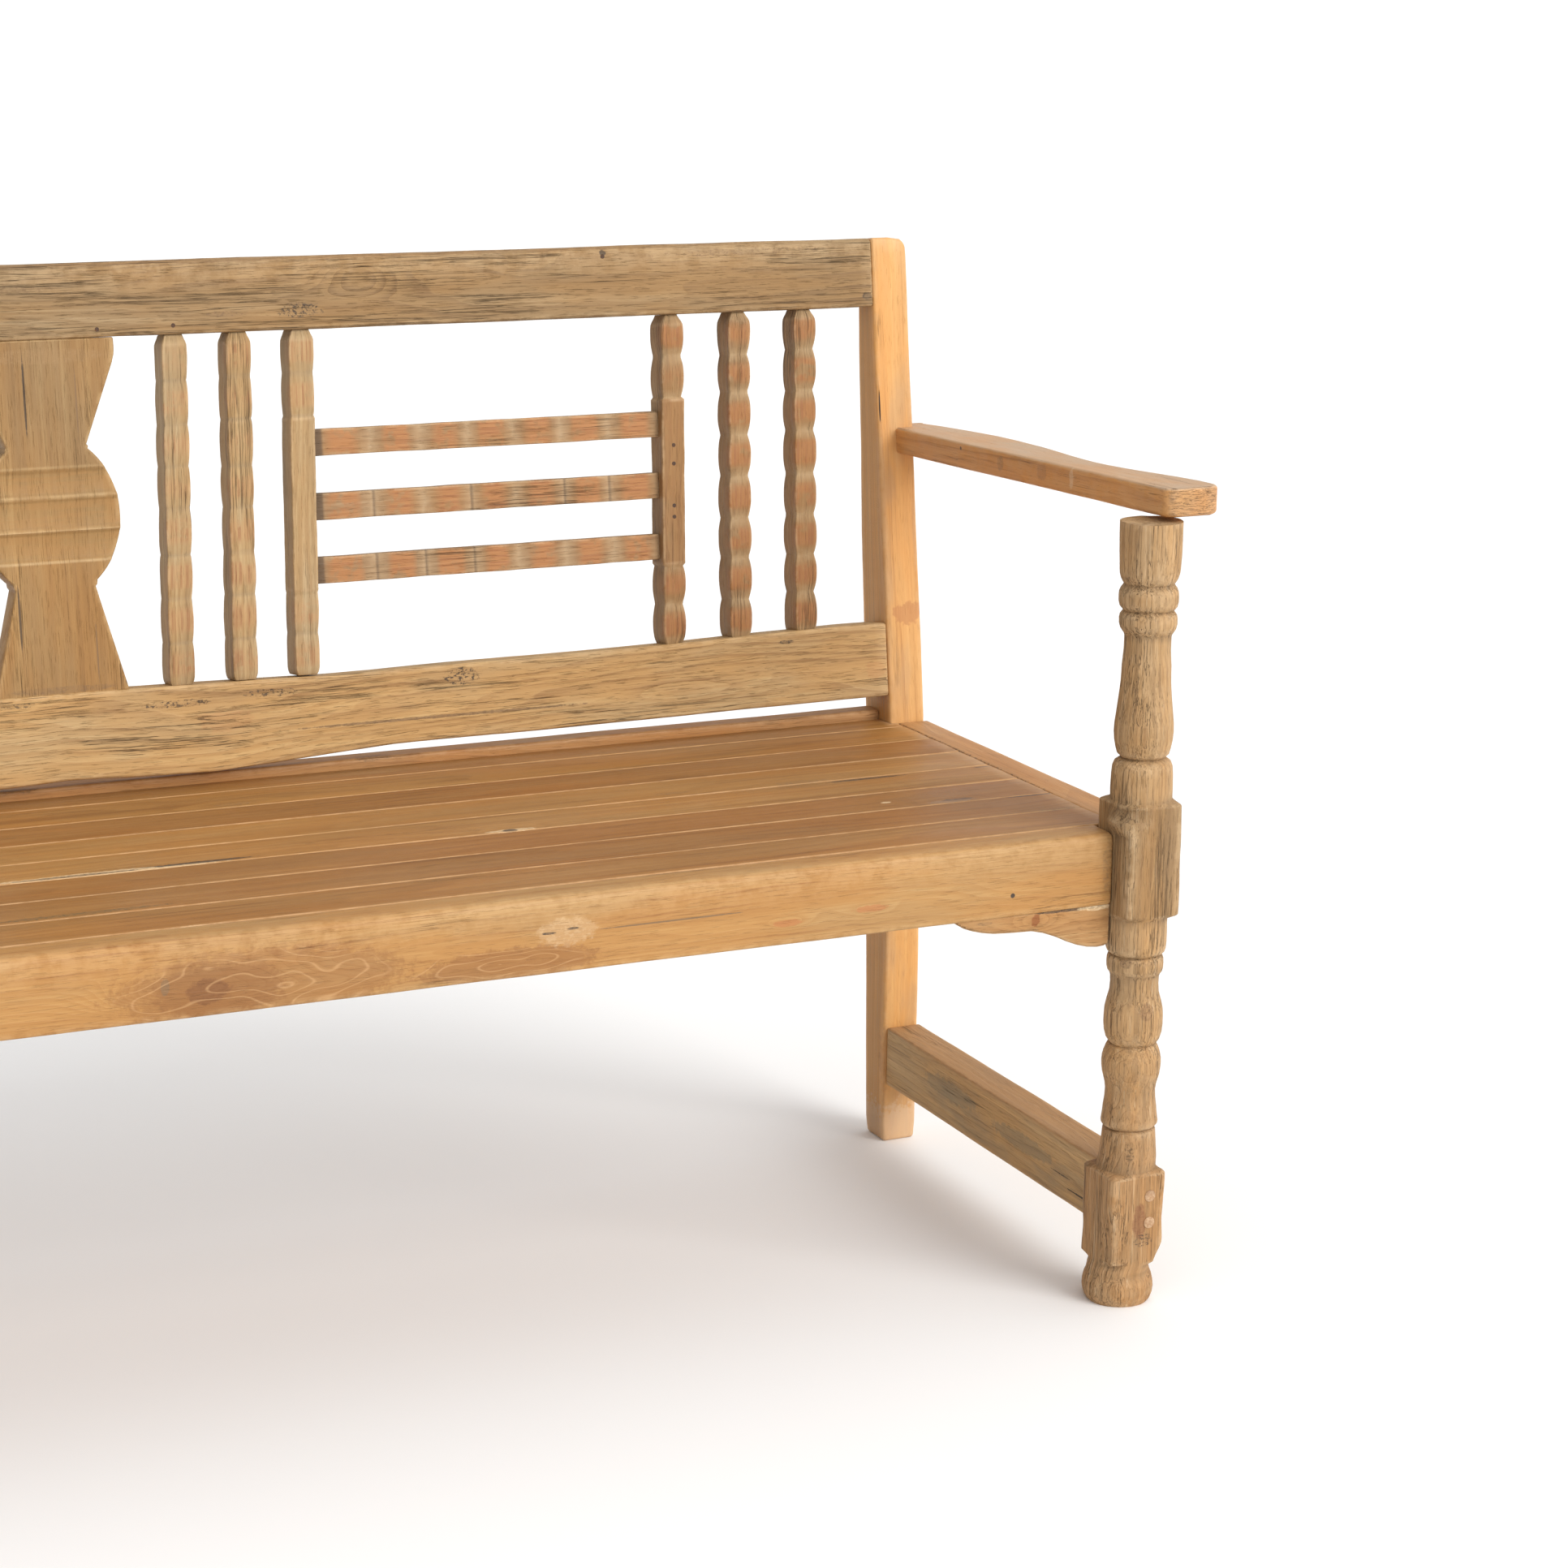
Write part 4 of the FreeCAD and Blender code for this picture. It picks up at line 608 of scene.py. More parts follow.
splat = bmesh.new()
rows = 162
bmesh.ops.create_grid(splat, x_segments=rows, y_segments=22, size=0.5,
                      matrix=Matrix.Translation((0.5, 0, 0.5)) @ Matrix.Rotation(math.pi / 2, 4, "X"))
front = splat.faces[:]
backing = bmesh.ops.extrude_face_region(splat, geom=front)["geom"]
for point in [part for part in backing if isinstance(part, bmesh.types.BMVert)]:
    point.co.y += splat_depth
bmesh.ops.recalc_face_normals(splat, faces=splat.faces[:])
for point in splat.verts:
    point.co.x *= panel_height
    half = along(splat_half, point.co.x)
    point.co.z = (point.co.z - 0.5) * 2 * half
rim = [edge for edge in splat.edges if edge.calc_face_angle(0.0) > 1.2]
bmesh.ops.bevel(splat, geom=rim, offset=0.0016, segments=2, profile=0.5, affect="EDGES", material=-1)
remember_grain(splat, 5)
flute = splat.verts.layers.float.new("flute")
ridge = splat.verts.layers.float.new("ridge")
ridges = (0.1219, 0.1501, 0.1804, 0.2066)
for point in splat.verts:
    height, depth, across = point.co
    cut = 0.0
    if ridges[0] - 0.002 < height < ridges[-1] + 0.002 and depth < splat_depth / 2:
        off_ridge = min(abs(height - level) for level in ridges)
        point[ridge] = ease_in(-off_ridge, -0.0016, 0.0)
        if ridges[0] < height < ridges[-1]:
            low = max(level for level in ridges if level <= height)
            high = min(level for level in ridges if level > height)
            part = (height - low) / (high - low)
            cut = 0.0032 * min(1.0, off_ridge / 0.0025) * math.sin(math.pi * (0.12 + 0.76 * part)) ** 0.7
            point[flute] = min(1.0, cut / 0.002) * (0.45 + 0.55 * part)
    drift = handwork(Vector((across, depth, height)), 0.06, 0.0005, 31)
    shape = up_the_back(across + drift.x * 0.5, 0.002 + depth + cut * (1 - depth / splat_depth) + drift.y,
                        panel_foot + height)
    point.co = shape
fit("fluted_splat", splat, splat_teak, "teak_rail", "centre_splat")

# ---------------------------------------------------------------------------------------------
# Spindles. Square bars of teak carved into a row of pillows on the front and both sides; the third
# and fourth on each side have a plain middle. Sanding has brought out the orange on the crowns.
# ---------------------------------------------------------------------------------------------
spindle_width, spindle_depth, spindle_lean = 0.024, 0.029, 0.013
spindle_feet = [0.112, 0.1725, 0.233, 0.6105, 0.6825, 0.7545]
plain_low, plain_high = 0.080, 0.242


def carved_teak(name, pale, middle, deep, orange, orange_share, cut, cut_share):
    """Tan teak whose raised crowns are sanded to orange and whose cuts stay grey."""
    material, tree, grain, place = new_teak(name)
    teak = use(tree, teak_grain, Grain=grain, Rings=190.0, Figure=0.40, Pale=pale, Middle=middle, Deep=deep)
    checks = use(tree, open_grain, Grain=grain, Amount=0.45, Width=0.02)
    edges = use(tree, handled, Place=place)
    crown = put(tree, "ShaderNodeAttribute", attribute_name="crown").outputs["Fac"]
    groove = put(tree, "ShaderNodeAttribute", attribute_name="groove").outputs["Fac"]
    rubbed = stretched_noise(tree, place, (55, 55, 55), 3.0, 0.6)
    rubbed = sums(tree, "MULTIPLY", crown, within(tree, rubbed, 0.32, 0.50))
    colour = tint(tree, sums(tree, "MULTIPLY", rubbed, orange_share), teak["Color"], orange)
    stripes = within(tree, stretched_noise(tree, grain, (6, 520, 520), 3.0, 0.6), 0.48, 0.60)
    figure = sums(tree, "MULTIPLY", sums(tree, "MULTIPLY", rubbed, stripes), 0.55)
    colour = tint(tree, figure, colour, (0.26, 0.10, 0.04, 1))
    colour = tint(tree, sums(tree, "MULTIPLY", edges["Worn"], 0.35), colour, (0.70, 0.50, 0.30, 1))
    grey = within(tree, stretched_noise(tree, place, (90, 90, 90), 3.0, 0.6), 0.35, 0.6, cut_share / 2,
                  cut_share)
    colour = tint(tree, sums(tree, "MULTIPLY", groove, grey), colour, cut)
    # Dark lines painted in the notch bottoms, and a band of painted shadow at each lattice bar's end where it
    # enters the spindle.
    notch_line_and_joint_shadow = put(tree, "ShaderNodeAttribute", attribute_name="notch_line_and_joint_shadow").outputs["Fac"]
    colour = tint(tree, sums(tree, "MULTIPLY", notch_line_and_joint_shadow, 0.85), colour, (0.10, 0.065, 0.04, 1))
    colour = tint(tree, sums(tree, "MULTIPLY", checks["Cracks"], 0.6), colour, (0.14, 0.085, 0.045, 1))
    colour = tint(tree, sums(tree, "MULTIPLY", checks["Scratches"], 0.25), colour, deep)
    relief = sums(tree, "MULTIPLY_ADD", checks["Cracks"], -0.9, teak["Height"])
    surface(tree, colour, within(tree, teak["Height"], 0.0, 1.0, 0.66, 0.54), relief, 0.0006)
    return material


pale_spindle_teak = carved_teak("Pale carved teak", (0.452, 0.337, 0.19, 1), (0.359, 0.244, 0.122, 1),
                                (0.212, 0.131, 0.0575, 1), (0.50, 0.28, 0.125, 1), 0.42,
                                (0.31, 0.225, 0.13, 1), 0.6)
tan_spindle_teak = carved_teak("Tan carved teak", (0.355, 0.227, 0.111, 1), (0.277, 0.163, 0.0713, 1),
                               (0.174, 0.0921, 0.037, 1), (0.34, 0.15, 0.05, 1), 0.9,
                               (0.42, 0.29, 0.155, 1), 0.8)


def pillow(place, edges_of_beads):
    """How far up its bead a place lies: 0 in the cut between two beads, 1 on the crown."""
    for low, high in zip(edges_of_beads, edges_of_beads[1:]):
        if low <= place <= high:
            return math.sin(math.pi * (place - low) / (high - low))
    return 1.0


for side, hand in ((1, "right"), (-1, "left")):
    for number, foot in enumerate(spindle_feet, start=1):
        seed = number + (7 if side > 0 else 29)
        slack = [0.0] + [0.0035 * noise.noise(Vector((seed * 2.3, bead * 1.9, 0.5)))
                         for bead in range(1, 8)] + [0.0]
        if number in (3, 4):
            runs = ([0.0, plain_low / 2, plain_low],
                    [plain_high, (plain_high + panel_height) / 2, panel_height])
        else:
            runs = ([panel_height * bead / 8 + slack[bead] for bead in range(9)],)
        spindle = stock(panel_height, spindle_depth, spindle_width, 0.0014, 118, seed)
        carving = 0.0013 if number < 4 else 0.0026
        crown = spindle.verts.layers.float.new("crown")
        groove = spindle.verts.layers.float.new("groove")
        for point in spindle.verts:
            s, depth, w = point.co
            rise, in_beads = 1.0, False
            for run in runs:
                if run[0] <= s <= run[-1]:
                    rise, in_beads = pillow(s, run), True
            scoop = 1 - rise ** 0.5 if number < 4 else (1 - rise) ** 1.3
            cut = carving * scoop if in_beads else 0.0
            bead_number = int(s / panel_height * 8)
            strength = 0.75 + 0.9 * noise.noise(Vector((seed * 1.3, bead_number * 2.7, 4.4)))
            at_front = ease_in(-depth, -0.006, -0.001)
            point[crown] = (min(1.0, max(0.0, (rise ** 1.6 - 0.35) * 3.0) * strength) if in_beads
                            else 0.2 * strength)
            point[crown] *= 0.10 + 0.90 * at_front
            wide = 4.5 if number < 4 else 1.5
            point[groove] = max(0.0, 1 - rise * wide) * at_front if in_beads else 0.0
            shoulder = 0.0024 * ease_in(s, panel_height - 0.010, panel_height - 0.001)
            shoulder += 0.001 * ease_in(-s, -0.006, -0.0005)
            across = w - spindle_width / 2
            trim = (cut + shoulder) / (spindle_width / 2)
            side_cut = 1 - trim if in_beads else 1 - shoulder / (spindle_width / 2)
            front_cut = (cut + shoulder * 0.7) * (1 - depth / spindle_depth)
            drift = handwork(Vector((s, depth, w)), 0.035, 0.0006, seed)
            drift += handwork(Vector((s, depth, w)), 0.011, 0.0002, seed + 3)
            x = foot + spindle_lean * s / panel_height + across * side_cut + drift.z
            point.co = up_the_back(side * x, 0.002 + depth + front_cut + abs(drift.y) * 0.5, panel_foot + s)
        wood = pale_spindle_teak if number < 4 else tan_spindle_teak
        fit("beaded_spindle_%s_%d" % (hand, number), spindle, wood, "teak_carved",
            "spindle_%s_%d" % (hand, number))

# ---------------------------------------------------------------------------------------------
# Lattice rails. Three thin bars on each side, carved into pillows on the front only and tenoned
# into the plain middles of the third and fourth spindles, well back from their faces.
# ---------------------------------------------------------------------------------------------
lattice_height, lattice_depth = 0.025, 0.018
lattice_teak = carved_teak("Orange carved teak", (0.385, 0.258, 0.145, 1), (0.312, 0.191, 0.0954, 1),
                           (0.206, 0.107, 0.046, 1), (0.42, 0.19, 0.072, 1), 0.9, (0.44, 0.31, 0.18, 1), 0.8)
lattice_joint = [0.254, 0.311, 0.361, 0.409, 0.455, 0.5045, 0.553, 0.604]
for side, hand in ((1, "right"), (-1, "left")):
    for level, (name, middle) in enumerate((("lower", 0.097), ("middle", 0.157), ("upper", 0.217))):
        seed = 41 + level + (0 if side > 0 else 9)
        left = spindle_feet[2] + spindle_width / 2 + spindle_lean * middle / panel_height - 0.0005
        right = spindle_feet[3] - spindle_width / 2 + spindle_lean * middle / panel_height + 0.0005
        bar = stock(right - left, lattice_depth, lattice_height, 0.0013, 150, seed)
        crown = bar.verts.layers.float.new("crown")
        groove = bar.verts.layers.float.new("groove")
        notch_line_and_joint_shadow = bar.verts.layers.float.new("notch_line_and_joint_shadow")
        joints = [left - 0.001] + [joint + 0.004 * noise.noise(Vector((seed, joint * 90, 0)))
                                   for joint in lattice_joint[1:-1]]
        joints.append(right + 0.001)
        for point in bar.verts:
            s, depth, w = point.co
            x = left + s
            rise = pillow(x, joints)
            cut = 0.0026 * (1 - rise ** 0.6)
            bead_number = sum(1 for joint in joints if joint < x)
            strength = 0.95 + 0.7 * noise.noise(Vector((seed * 1.7, bead_number * 2.1, 1.2)))
            at_front = ease_in(-depth, -0.007, -0.001)
            point[crown] = min(1.0, max(0.0, (rise ** 1.4 - 0.45) * 3.2) * strength) * at_front
            point[groove] = max(0.0, 1 - rise * 1.6) * at_front
            # The lower and middle bars get a dark line painted in each notch bottom; the band at the bar's
            # left end is painted shadow of the gap where it enters the third spindle.
            slit = 0.7 * at_front if rise < 0.05 and level != 2 else 0.0
            point[notch_line_and_joint_shadow] = max(slit, ease_in(-s, -0.0098, -0.0080))
            drift = handwork(Vector((s, depth, w)), 0.04, 0.0005, seed)
            front_cut = cut * (1 - depth / lattice_depth)
            height = panel_foot + middle - lattice_height / 2 + w + drift.z
            point.co = up_the_back(side * x, 0.010 + depth + front_cut + drift.y * 0.5, height)
        fit("beaded_lattice_%s_%s" % (hand, name), bar, lattice_teak, "teak_carved",
            "lattice_rail_%s_%s" % (hand, name))

# ---------------------------------------------------------------------------------------------
# Seat frame. The front rail shows a great swirling knot, a filled patch and long checks; side and
# back rails are plainer boards of the same teak. All are tenoned into the legs and posts.
# ---------------------------------------------------------------------------------------------
apron_low, apron_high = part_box("seat_front_rail")
apron_half = leg_axis - half_block
filler = (0.74, 0.56, 0.34, 1)

apron_teak, tree, grain, place = new_teak("Honey front rail")
swirl = None
for centre, spread, push in (
        ((0.010, -0.268, 0.404), (0.075, 0.06, 0.024), 0.050),
        ((-0.055, -0.268, 0.410), (0.045, 0.06, 0.018), 0.020),
        ((0.110, -0.268, 0.400), (0.060, 0.06, 0.016), 0.022),
        ((0.235, -0.268, 0.397), (0.070, 0.06, 0.010), 0.016),
        ((0.505, -0.268, 0.403), (0.020, 0.06, 0.006), 0.010),
        ((0.585, -0.268, 0.407), (0.022, 0.06, 0.006), 0.010),
        ((-0.52, -0.268, 0.415), (0.060, 0.06, 0.018), 0.030)):
    knot = use(tree, mark, Place=place, Centre=centre, Reach=spread)["Nearness"]
    swirl = sums(tree, "MULTIPLY_ADD", knot, push, swirl if swirl else 0.0)
teak = use(tree, teak_grain, Grain=grain, Swirl=swirl, Rings=230.0, Figure=0.30,
           Pale=(0.448, 0.266, 0.105, 1),
           Middle=(0.39, 0.213, 0.0761, 1), Deep=(0.268, 0.123, 0.0388, 1))
checks = use(tree, open_grain, Grain=grain, Amount=0.22, Width=0.014)
edges = use(tree, handled, Place=place)
colour = teak["Color"]
for centre, spread, tone, share, broken in (
        ((0.035, -0.268, 0.404), (0.135, 0.06, 0.036), (0.22, 0.085, 0.026, 1), 0.42, 0.0),
        ((0.000, -0.268, 0.404), (0.062, 0.06, 0.026), (0.20, 0.075, 0.022, 1), 0.42, 0.0),
        ((0.250, -0.268, 0.396), (0.090, 0.06, 0.016), (0.22, 0.085, 0.026, 1), 0.50, 0.0),
        ((-0.010, -0.268, 0.404), (0.020, 0.06, 0.012), (0.15, 0.055, 0.02, 1), 0.6, 0.2),
        ((-0.045, -0.268, 0.412), (0.004, 0.06, 0.008), umber, 0.8, 0.2),
        ((0.300, -0.268, 0.419), (0.030, 0.06, 0.014), (0.56, 0.37, 0.20, 1), 0.65, 0.45),
        ((0.284, -0.268, 0.419), (0.007, 0.06, 0.0012), soot, 0.9, 0.3),
        ((0.305, -0.268, 0.421), (0.006, 0.06, 0.0012), soot, 0.9, 0.3),
        ((0.398, -0.268, 0.4175), (0.075, 0.06, 0.0009), umber, 0.9, 0.0),
        ((0.505, -0.268, 0.403), (0.016, 0.06, 0.0035), (0.42, 0.15, 0.05, 1), 0.6, 0.0),
        ((0.585, -0.268, 0.407), (0.018, 0.06, 0.0035), (0.42, 0.15, 0.05, 1), 0.6, 0.0),
        ((0.727, -0.268, 0.403), (0.0024, 0.06, 0.0024), soot, 0.95, 0.0),
        ((0.825, -0.268, 0.42), (0.007, 0.06, 0.028), umber, 0.5, 0.7)):
    stain = use(tree, mark, Place=place, Centre=centre, Reach=spread, Ragged=0.3, Broken=broken)
    colour = tint(tree, sums(tree, "MULTIPLY", stain["Mask"], share), colour, tone)
for centre, spread in (((0.030, -0.268, 0.404), (0.125, 0.06, 0.033)),
                       ((0.240, -0.268, 0.397), (0.085, 0.06, 0.016)),
                       ((-0.52, -0.268, 0.415), (0.09, 0.06, 0.022))):
    knot = use(tree, mark, Place=place, Centre=centre, Reach=spread, Ragged=0.1)
    rungs = sums(tree, "MULTIPLY", sums(tree, "MULTIPLY", knot["Contours"], knot["Mask"]), 0.38)
    colour = tint(tree, rungs, colour, (0.60, 0.35, 0.16, 1))
colour = tint(tree, sums(tree, "MULTIPLY", edges["Worn"], 0.30), colour, (0.72, 0.46, 0.22, 1))
colour = tint(tree, sums(tree, "MULTIPLY", checks["Cracks"], 0.6), colour, (0.22, 0.10, 0.04, 1))
relief = sums(tree, "MULTIPLY_ADD", checks["Cracks"], -0.8, teak["Height"])
surface(tree, colour, within(tree, teak["Cloud"], 0.2, 0.8, 0.44, 0.60), relief, 0.00035, 0.32)

apron = stock(apron_half * 2, apron_high.y - apron_low.y, seat_top - apron_low.z, 0.0036, 120, 51)
for point in apron.verts:
    x, depth, height = point.co
    x -= apron_half
    drift = handwork(Vector((x, depth, height)), 0.12, 0.0007, 51)
    drift += handwork(Vector((x, depth, height)), 0.02, 0.00015, 52)
    over = ease_in(height, 0.058, 0.067) * ease_in(-depth, -0.009, 0.0)
    y = apron_low.y + depth + over * 0.0016 + drift.y * 0.5
    point.co = Vector((x, y, apron_low.z + height - over * 0.0012 + drift.z * 0.7))
fit("front_rail_board", apron, apron_teak, "teak_seat", "seat_front_rail")

frame_teak, tree, grain, place = new_teak("Plain seat rail teak")
teak = use(tree, teak_grain, Grain=grain, Rings=140.0, Figure=0.34, Pale=(0.54, 0.30, 0.125, 1),
           Middle=(0.44, 0.23, 0.09, 1), Deep=(0.27, 0.125, 0.045, 1))
checks = use(tree, open_grain, Grain=grain, Amount=0.35, Width=0.016)
edges = use(tree, handled, Place=place)
colour = tint(tree, sums(tree, "MULTIPLY", edges["Worn"], 0.45), teak["Color"], (0.60, 0.36, 0.17, 1))
for centre, spread, tone, share, broken in (
        ((0.851, 0.05, 0.452), (0.004, 0.20, 0.01), soot, 0.75, 0.85),
        ((0.30, 0.226, 0.459), (0.02, 0.01, 0.004), umber, 0.6, 0.6),
        ((-0.05, 0.226, 0.459), (0.03, 0.01, 0.004), umber, 0.6, 0.6)):
    stain = use(tree, mark, Place=place, Centre=centre, Reach=spread, Ragged=0.4, Broken=broken)
    colour = tint(tree, sums(tree, "MULTIPLY", stain["Mask"], share), colour, tone)
colour = tint(tree, sums(tree, "MULTIPLY", checks["Cracks"], 0.65), colour, (0.16, 0.08, 0.035, 1))
relief = sums(tree, "MULTIPLY_ADD", checks["Cracks"], -0.8, teak["Height"])
surface(tree, colour, within(tree, teak["Cloud"], 0.2, 0.8, 0.42, 0.58), relief, 0.0004, 0.3)


def fore_and_aft(name, node, finish, slot, ease, seed, wobble):
    """A board that runs from the front leg to the back post."""
    low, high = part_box(node)
    tenon = 0.020
    board = stock(high.y - low.y - 2 * tenon, high.x - low.x, high.z - low.z, ease, 40, seed)
    for point in board.verts:
        s, depth, height = point.co
        drift = handwork(Vector((s, depth, height)), 0.09, wobble, seed)
        drift += handwork(Vector((s, depth, height)), 0.015, wobble / 4, seed)
        point.co = Vector((low.x + depth + drift.y * 0.6, low.y + tenon + s, low.z + height + drift.z * 0.6))
    fit(name, board, finish, slot, node)


for hand, seed in (("right", 61), ("left", 64)):
    fore_and_aft("side_rail_board_" + hand, "seat_side_rail_" + hand, frame_teak, "teak_seat", 0.0022, seed,
                 0.0006)

low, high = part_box("seat_back_rail")
back_board = stock(rail_half * 2, high.y - low.y, high.z - low.z, 0.0028, 120, 67)
for point in back_board.verts:
    x, depth, height = point.co
    x -= rail_half
    drift = handwork(Vector((x, depth, height)), 0.10, 0.0009, 67)
    point.co = Vector((x, low.y + depth + drift.y * 0.5, low.z + height + drift.z))
fit("raised_back_rail", back_board, frame_teak, "teak_seat", "seat_back_rail")

# ---------------------------------------------------------------------------------------------
# Seat. Eight planks side by side, hand planed and waxed to a satin, with pale rubbed edges at the
# joints, one long ragged split filled with paste, and a few knots. Screwed down from below.
# ---------------------------------------------------------------------------------------------
plank_teak, tree, grain, place = new_teak("Waxed seat plank")
swirl = None
for centre, spread, push in (
        ((0.335, -0.049, 0.45), (0.035, 0.011, 0.05), 0.022),
        ((0.750, -0.106, 0.45), (0.040, 0.014, 0.05), 0.026),
        ((0.170, -0.246, 0.45), (0.050, 0.010, 0.05), 0.014),
        ((0.135, 0.136, 0.45), (0.05, 0.012, 0.05), 0.016),
        ((-0.40, -0.02, 0.45), (0.06, 0.016, 0.05), 0.026), ((-0.66, 0.10, 0.45), (0.05, 0.014, 0.05), 0.02)):
    knot = use(tree, mark, Place=place, Centre=centre, Reach=spread)["Nearness"]
    swirl = sums(tree, "MULTIPLY_ADD", knot, push, swirl if swirl else 0.0)
teak = use(tree, teak_grain, Grain=grain, Swirl=swirl, Rings=120.0, Figure=0.34,
           Pale=(0.431, 0.231, 0.0758, 1),
           Middle=(0.35, 0.176, 0.0516, 1), Deep=(0.224, 0.102, 0.0273, 1))
checks = use(tree, open_grain, Grain=grain, Amount=0.16, Width=0.010)
edges = use(tree, handled, Place=place)
plank_tone = put(tree, "ShaderNodeAttribute", attribute_name="plank_tone").outputs["Fac"]
colour = tint(tree, plank_tone, teak["Color"], (0.80, 0.72, 0.66, 1), "MULTIPLY")
for centre, spread, tone, share, broken in (
        ((-0.03, -0.049, 0.45), (0.115, 0.0060, 0.03), filler, 0.85, 0.30),
        ((-0.06, -0.049, 0.45), (0.060, 0.0032, 0.03), soot, 0.9, 0.45),
        ((0.050, -0.046, 0.45), (0.055, 0.0036, 0.03), soot, 0.95, 0.15),
        ((0.335, -0.049, 0.45), (0.026, 0.0045, 0.03), filler, 0.8, 0.5),
        ((0.333, -0.049, 0.45), (0.009, 0.0040, 0.03), soot, 0.95, 0.1),
        ((0.715, 0.001, 0.45), (0.048, 0.0034, 0.03), soot, 0.95, 0.3),
        ((0.650, 0.012, 0.45), (0.030, 0.0080, 0.03), umber, 0.6, 0.7),
        ((0.690, -0.089, 0.45), (0.006, 0.0030, 0.03), filler, 0.85, 0.3),
        ((0.750, -0.106, 0.45), (0.026, 0.0060, 0.03), (0.30, 0.20, 0.13, 1), 0.7, 0.5),
        ((0.758, -0.103, 0.45), (0.018, 0.0034, 0.03), soot, 0.8, 0.5),
        ((0.135, 0.136, 0.45), (0.022, 0.0050, 0.03), umber, 0.7, 0.8),
        ((-0.085, -0.164, 0.45), (0.085, 0.0045, 0.03), (0.10, 0.08, 0.04, 1), 0.85, 0.6),
        ((-0.01, -0.234, 0.45), (0.03, 0.0040, 0.03), filler, 0.7, 0.6),
        ((0.170, -0.246, 0.45), (0.022, 0.0035, 0.03), filler, 0.8, 0.5),
        ((0.52, 0.02, 0.45), (0.02, 0.0040, 0.03), umber, 0.5, 0.8),
        ((0.830, -0.116, 0.45), (0.030, 0.0024, 0.03), soot, 0.9, 0.2),
        ((0.832, -0.172, 0.45), (0.032, 0.0026, 0.03), soot, 0.9, 0.2),
        ((0.842, 0.001, 0.45), (0.012, 0.0016, 0.03), soot, 0.9, 0.2)):
    stain = use(tree, mark, Place=place, Centre=centre, Reach=spread, Ragged=0.3, Broken=broken)
    colour = tint(tree, sums(tree, "MULTIPLY", stain["Mask"], share), colour, tone)
colour = tint(tree, sums(tree, "MULTIPLY", checks["Cracks"], 0.6), colour, (0.14, 0.07, 0.03, 1))
rubbed_edge = put(tree, "ShaderNodeAttribute", attribute_name="worn").outputs["Fac"]
rubbed_edge = sums(tree, "MULTIPLY_ADD", rubbed_edge, 0.35, sums(tree, "MULTIPLY", edges["Worn"], 0.30))
colour = tint(tree, rubbed_edge, colour, (0.62, 0.38, 0.19, 1))
relief = sums(tree, "MULTIPLY_ADD", checks["Cracks"], -0.8, teak["Height"])
surface(tree, colour, within(tree, teak["Cloud"], 0.25, 0.75, 0.36, 0.50), relief, 0.00025, 0.25)

for number in range(1, 9):
    low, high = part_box("seat_plank_%d" % number)
    plank = stock(high.x - low.x, high.y - low.y, high.z - low.z, 0.0013, 110, 70 + number * 1.37)
    tone_layer = plank.verts.layers.float.new("plank_tone")
    shade = 0.5 + 0.9 * noise.noise(Vector((number * 3.7, 2.2, 0.4)))
    for point in plank.verts:
        x, depth, height = point.co
        drift = handwork(Vector((x, number * 5.0, height)), 0.25, 0.0009, 70 + number)
        drift += handwork(Vector((x, depth, height)), 0.05, 0.0002, 80 + number)
        cup = 0.0005 * math.sin(math.pi * depth / (high.y - low.y))
        point[tone_layer] = min(1.0, max(0.0, shade))
        point.co = Vector((low.x + x, low.y + depth + drift.y * 0.35, low.z + height + drift.z * 0.35
                           + cup - 0.0003))
    if number == 8:
        for corner in (-1, 1):
            for plane, normal in ((post_inner - 0.0004, Vector((corner, 0, 0))),
                                  (post_face - 0.0004, Vector((0, 1, 0)))):
                point_on = Vector((corner * plane, 0, 0)) if normal.x else Vector((0, plane, 0))
                bmesh.ops.bisect_plane(plank, geom=plank.verts[:] + plank.edges[:] + plank.faces[:],
                                       plane_co=point_on, plane_no=normal)
        notched = [face for face in plank.faces if abs(face.calc_center_median().x) > post_inner - 0.0004
                   and face.calc_center_median().y > post_face - 0.0004]
        bmesh.ops.delete(plank, geom=notched, context="FACES")
        bmesh.ops.holes_fill(plank, edges=[edge for edge in plank.edges if edge.is_boundary], sides=0)
    fit("waxed_plank_%d" % number, plank, plank_teak, "teak_seat", "seat_plank_%d" % number)

# ---------------------------------------------------------------------------------------------
# Apron brackets. A flat ogee of pale teak under each end of the front rail, with one
# round knot. Glued and tenoned into the corner beside the leg.
# ---------------------------------------------------------------------------------------------
bracket_line = [(0.673, 0.3815), (0.680, 0.3765), (0.689, 0.3730), (0.700, 0.3700), (0.711, 0.3680),
                (0.730, 0.3668), (0.750, 0.3660), (0.762, 0.3630), (0.775, 0.3580), (0.786, 0.3525),
                (0.797, 0.3480), (0.808, 0.3448), (0.818, 0.3435), (0.825, 0.3440), (0.8298, 0.3460)]
bracket_teak = rail_finish(
    "Knotty bracket teak", (0.447, 0.269, 0.118, 1), (0.39, 0.213, 0.0854, 1), (0.26, 0.127, 0.0446, 1), 0.15,
    [((0.753, -0.265, 0.3762), (0.0048, 0.03, 0.0066), (0.24, 0.075, 0.02, 1), 0.8, 0.0),
     ((0.790, -0.265, 0.3828), (0.042, 0.03, 0.0022), soot, 0.9, 0.25),
     ((0.815, -0.265, 0.3818), (0.020, 0.03, 0.0030), filler, 0.8, 0.45),
     ((0.700, -0.265, 0.3790), (0.010, 0.03, 0.0015), umber, 0.7, 0.6)],
    [((0.753, -0.265, 0.3762), (0.020, 0.05, 0.009), 0.020),
     ((-0.753, -0.265, 0.3762), (0.020, 0.05, 0.009), 0.020)])
bracket_low, bracket_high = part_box("apron_bracket_right")
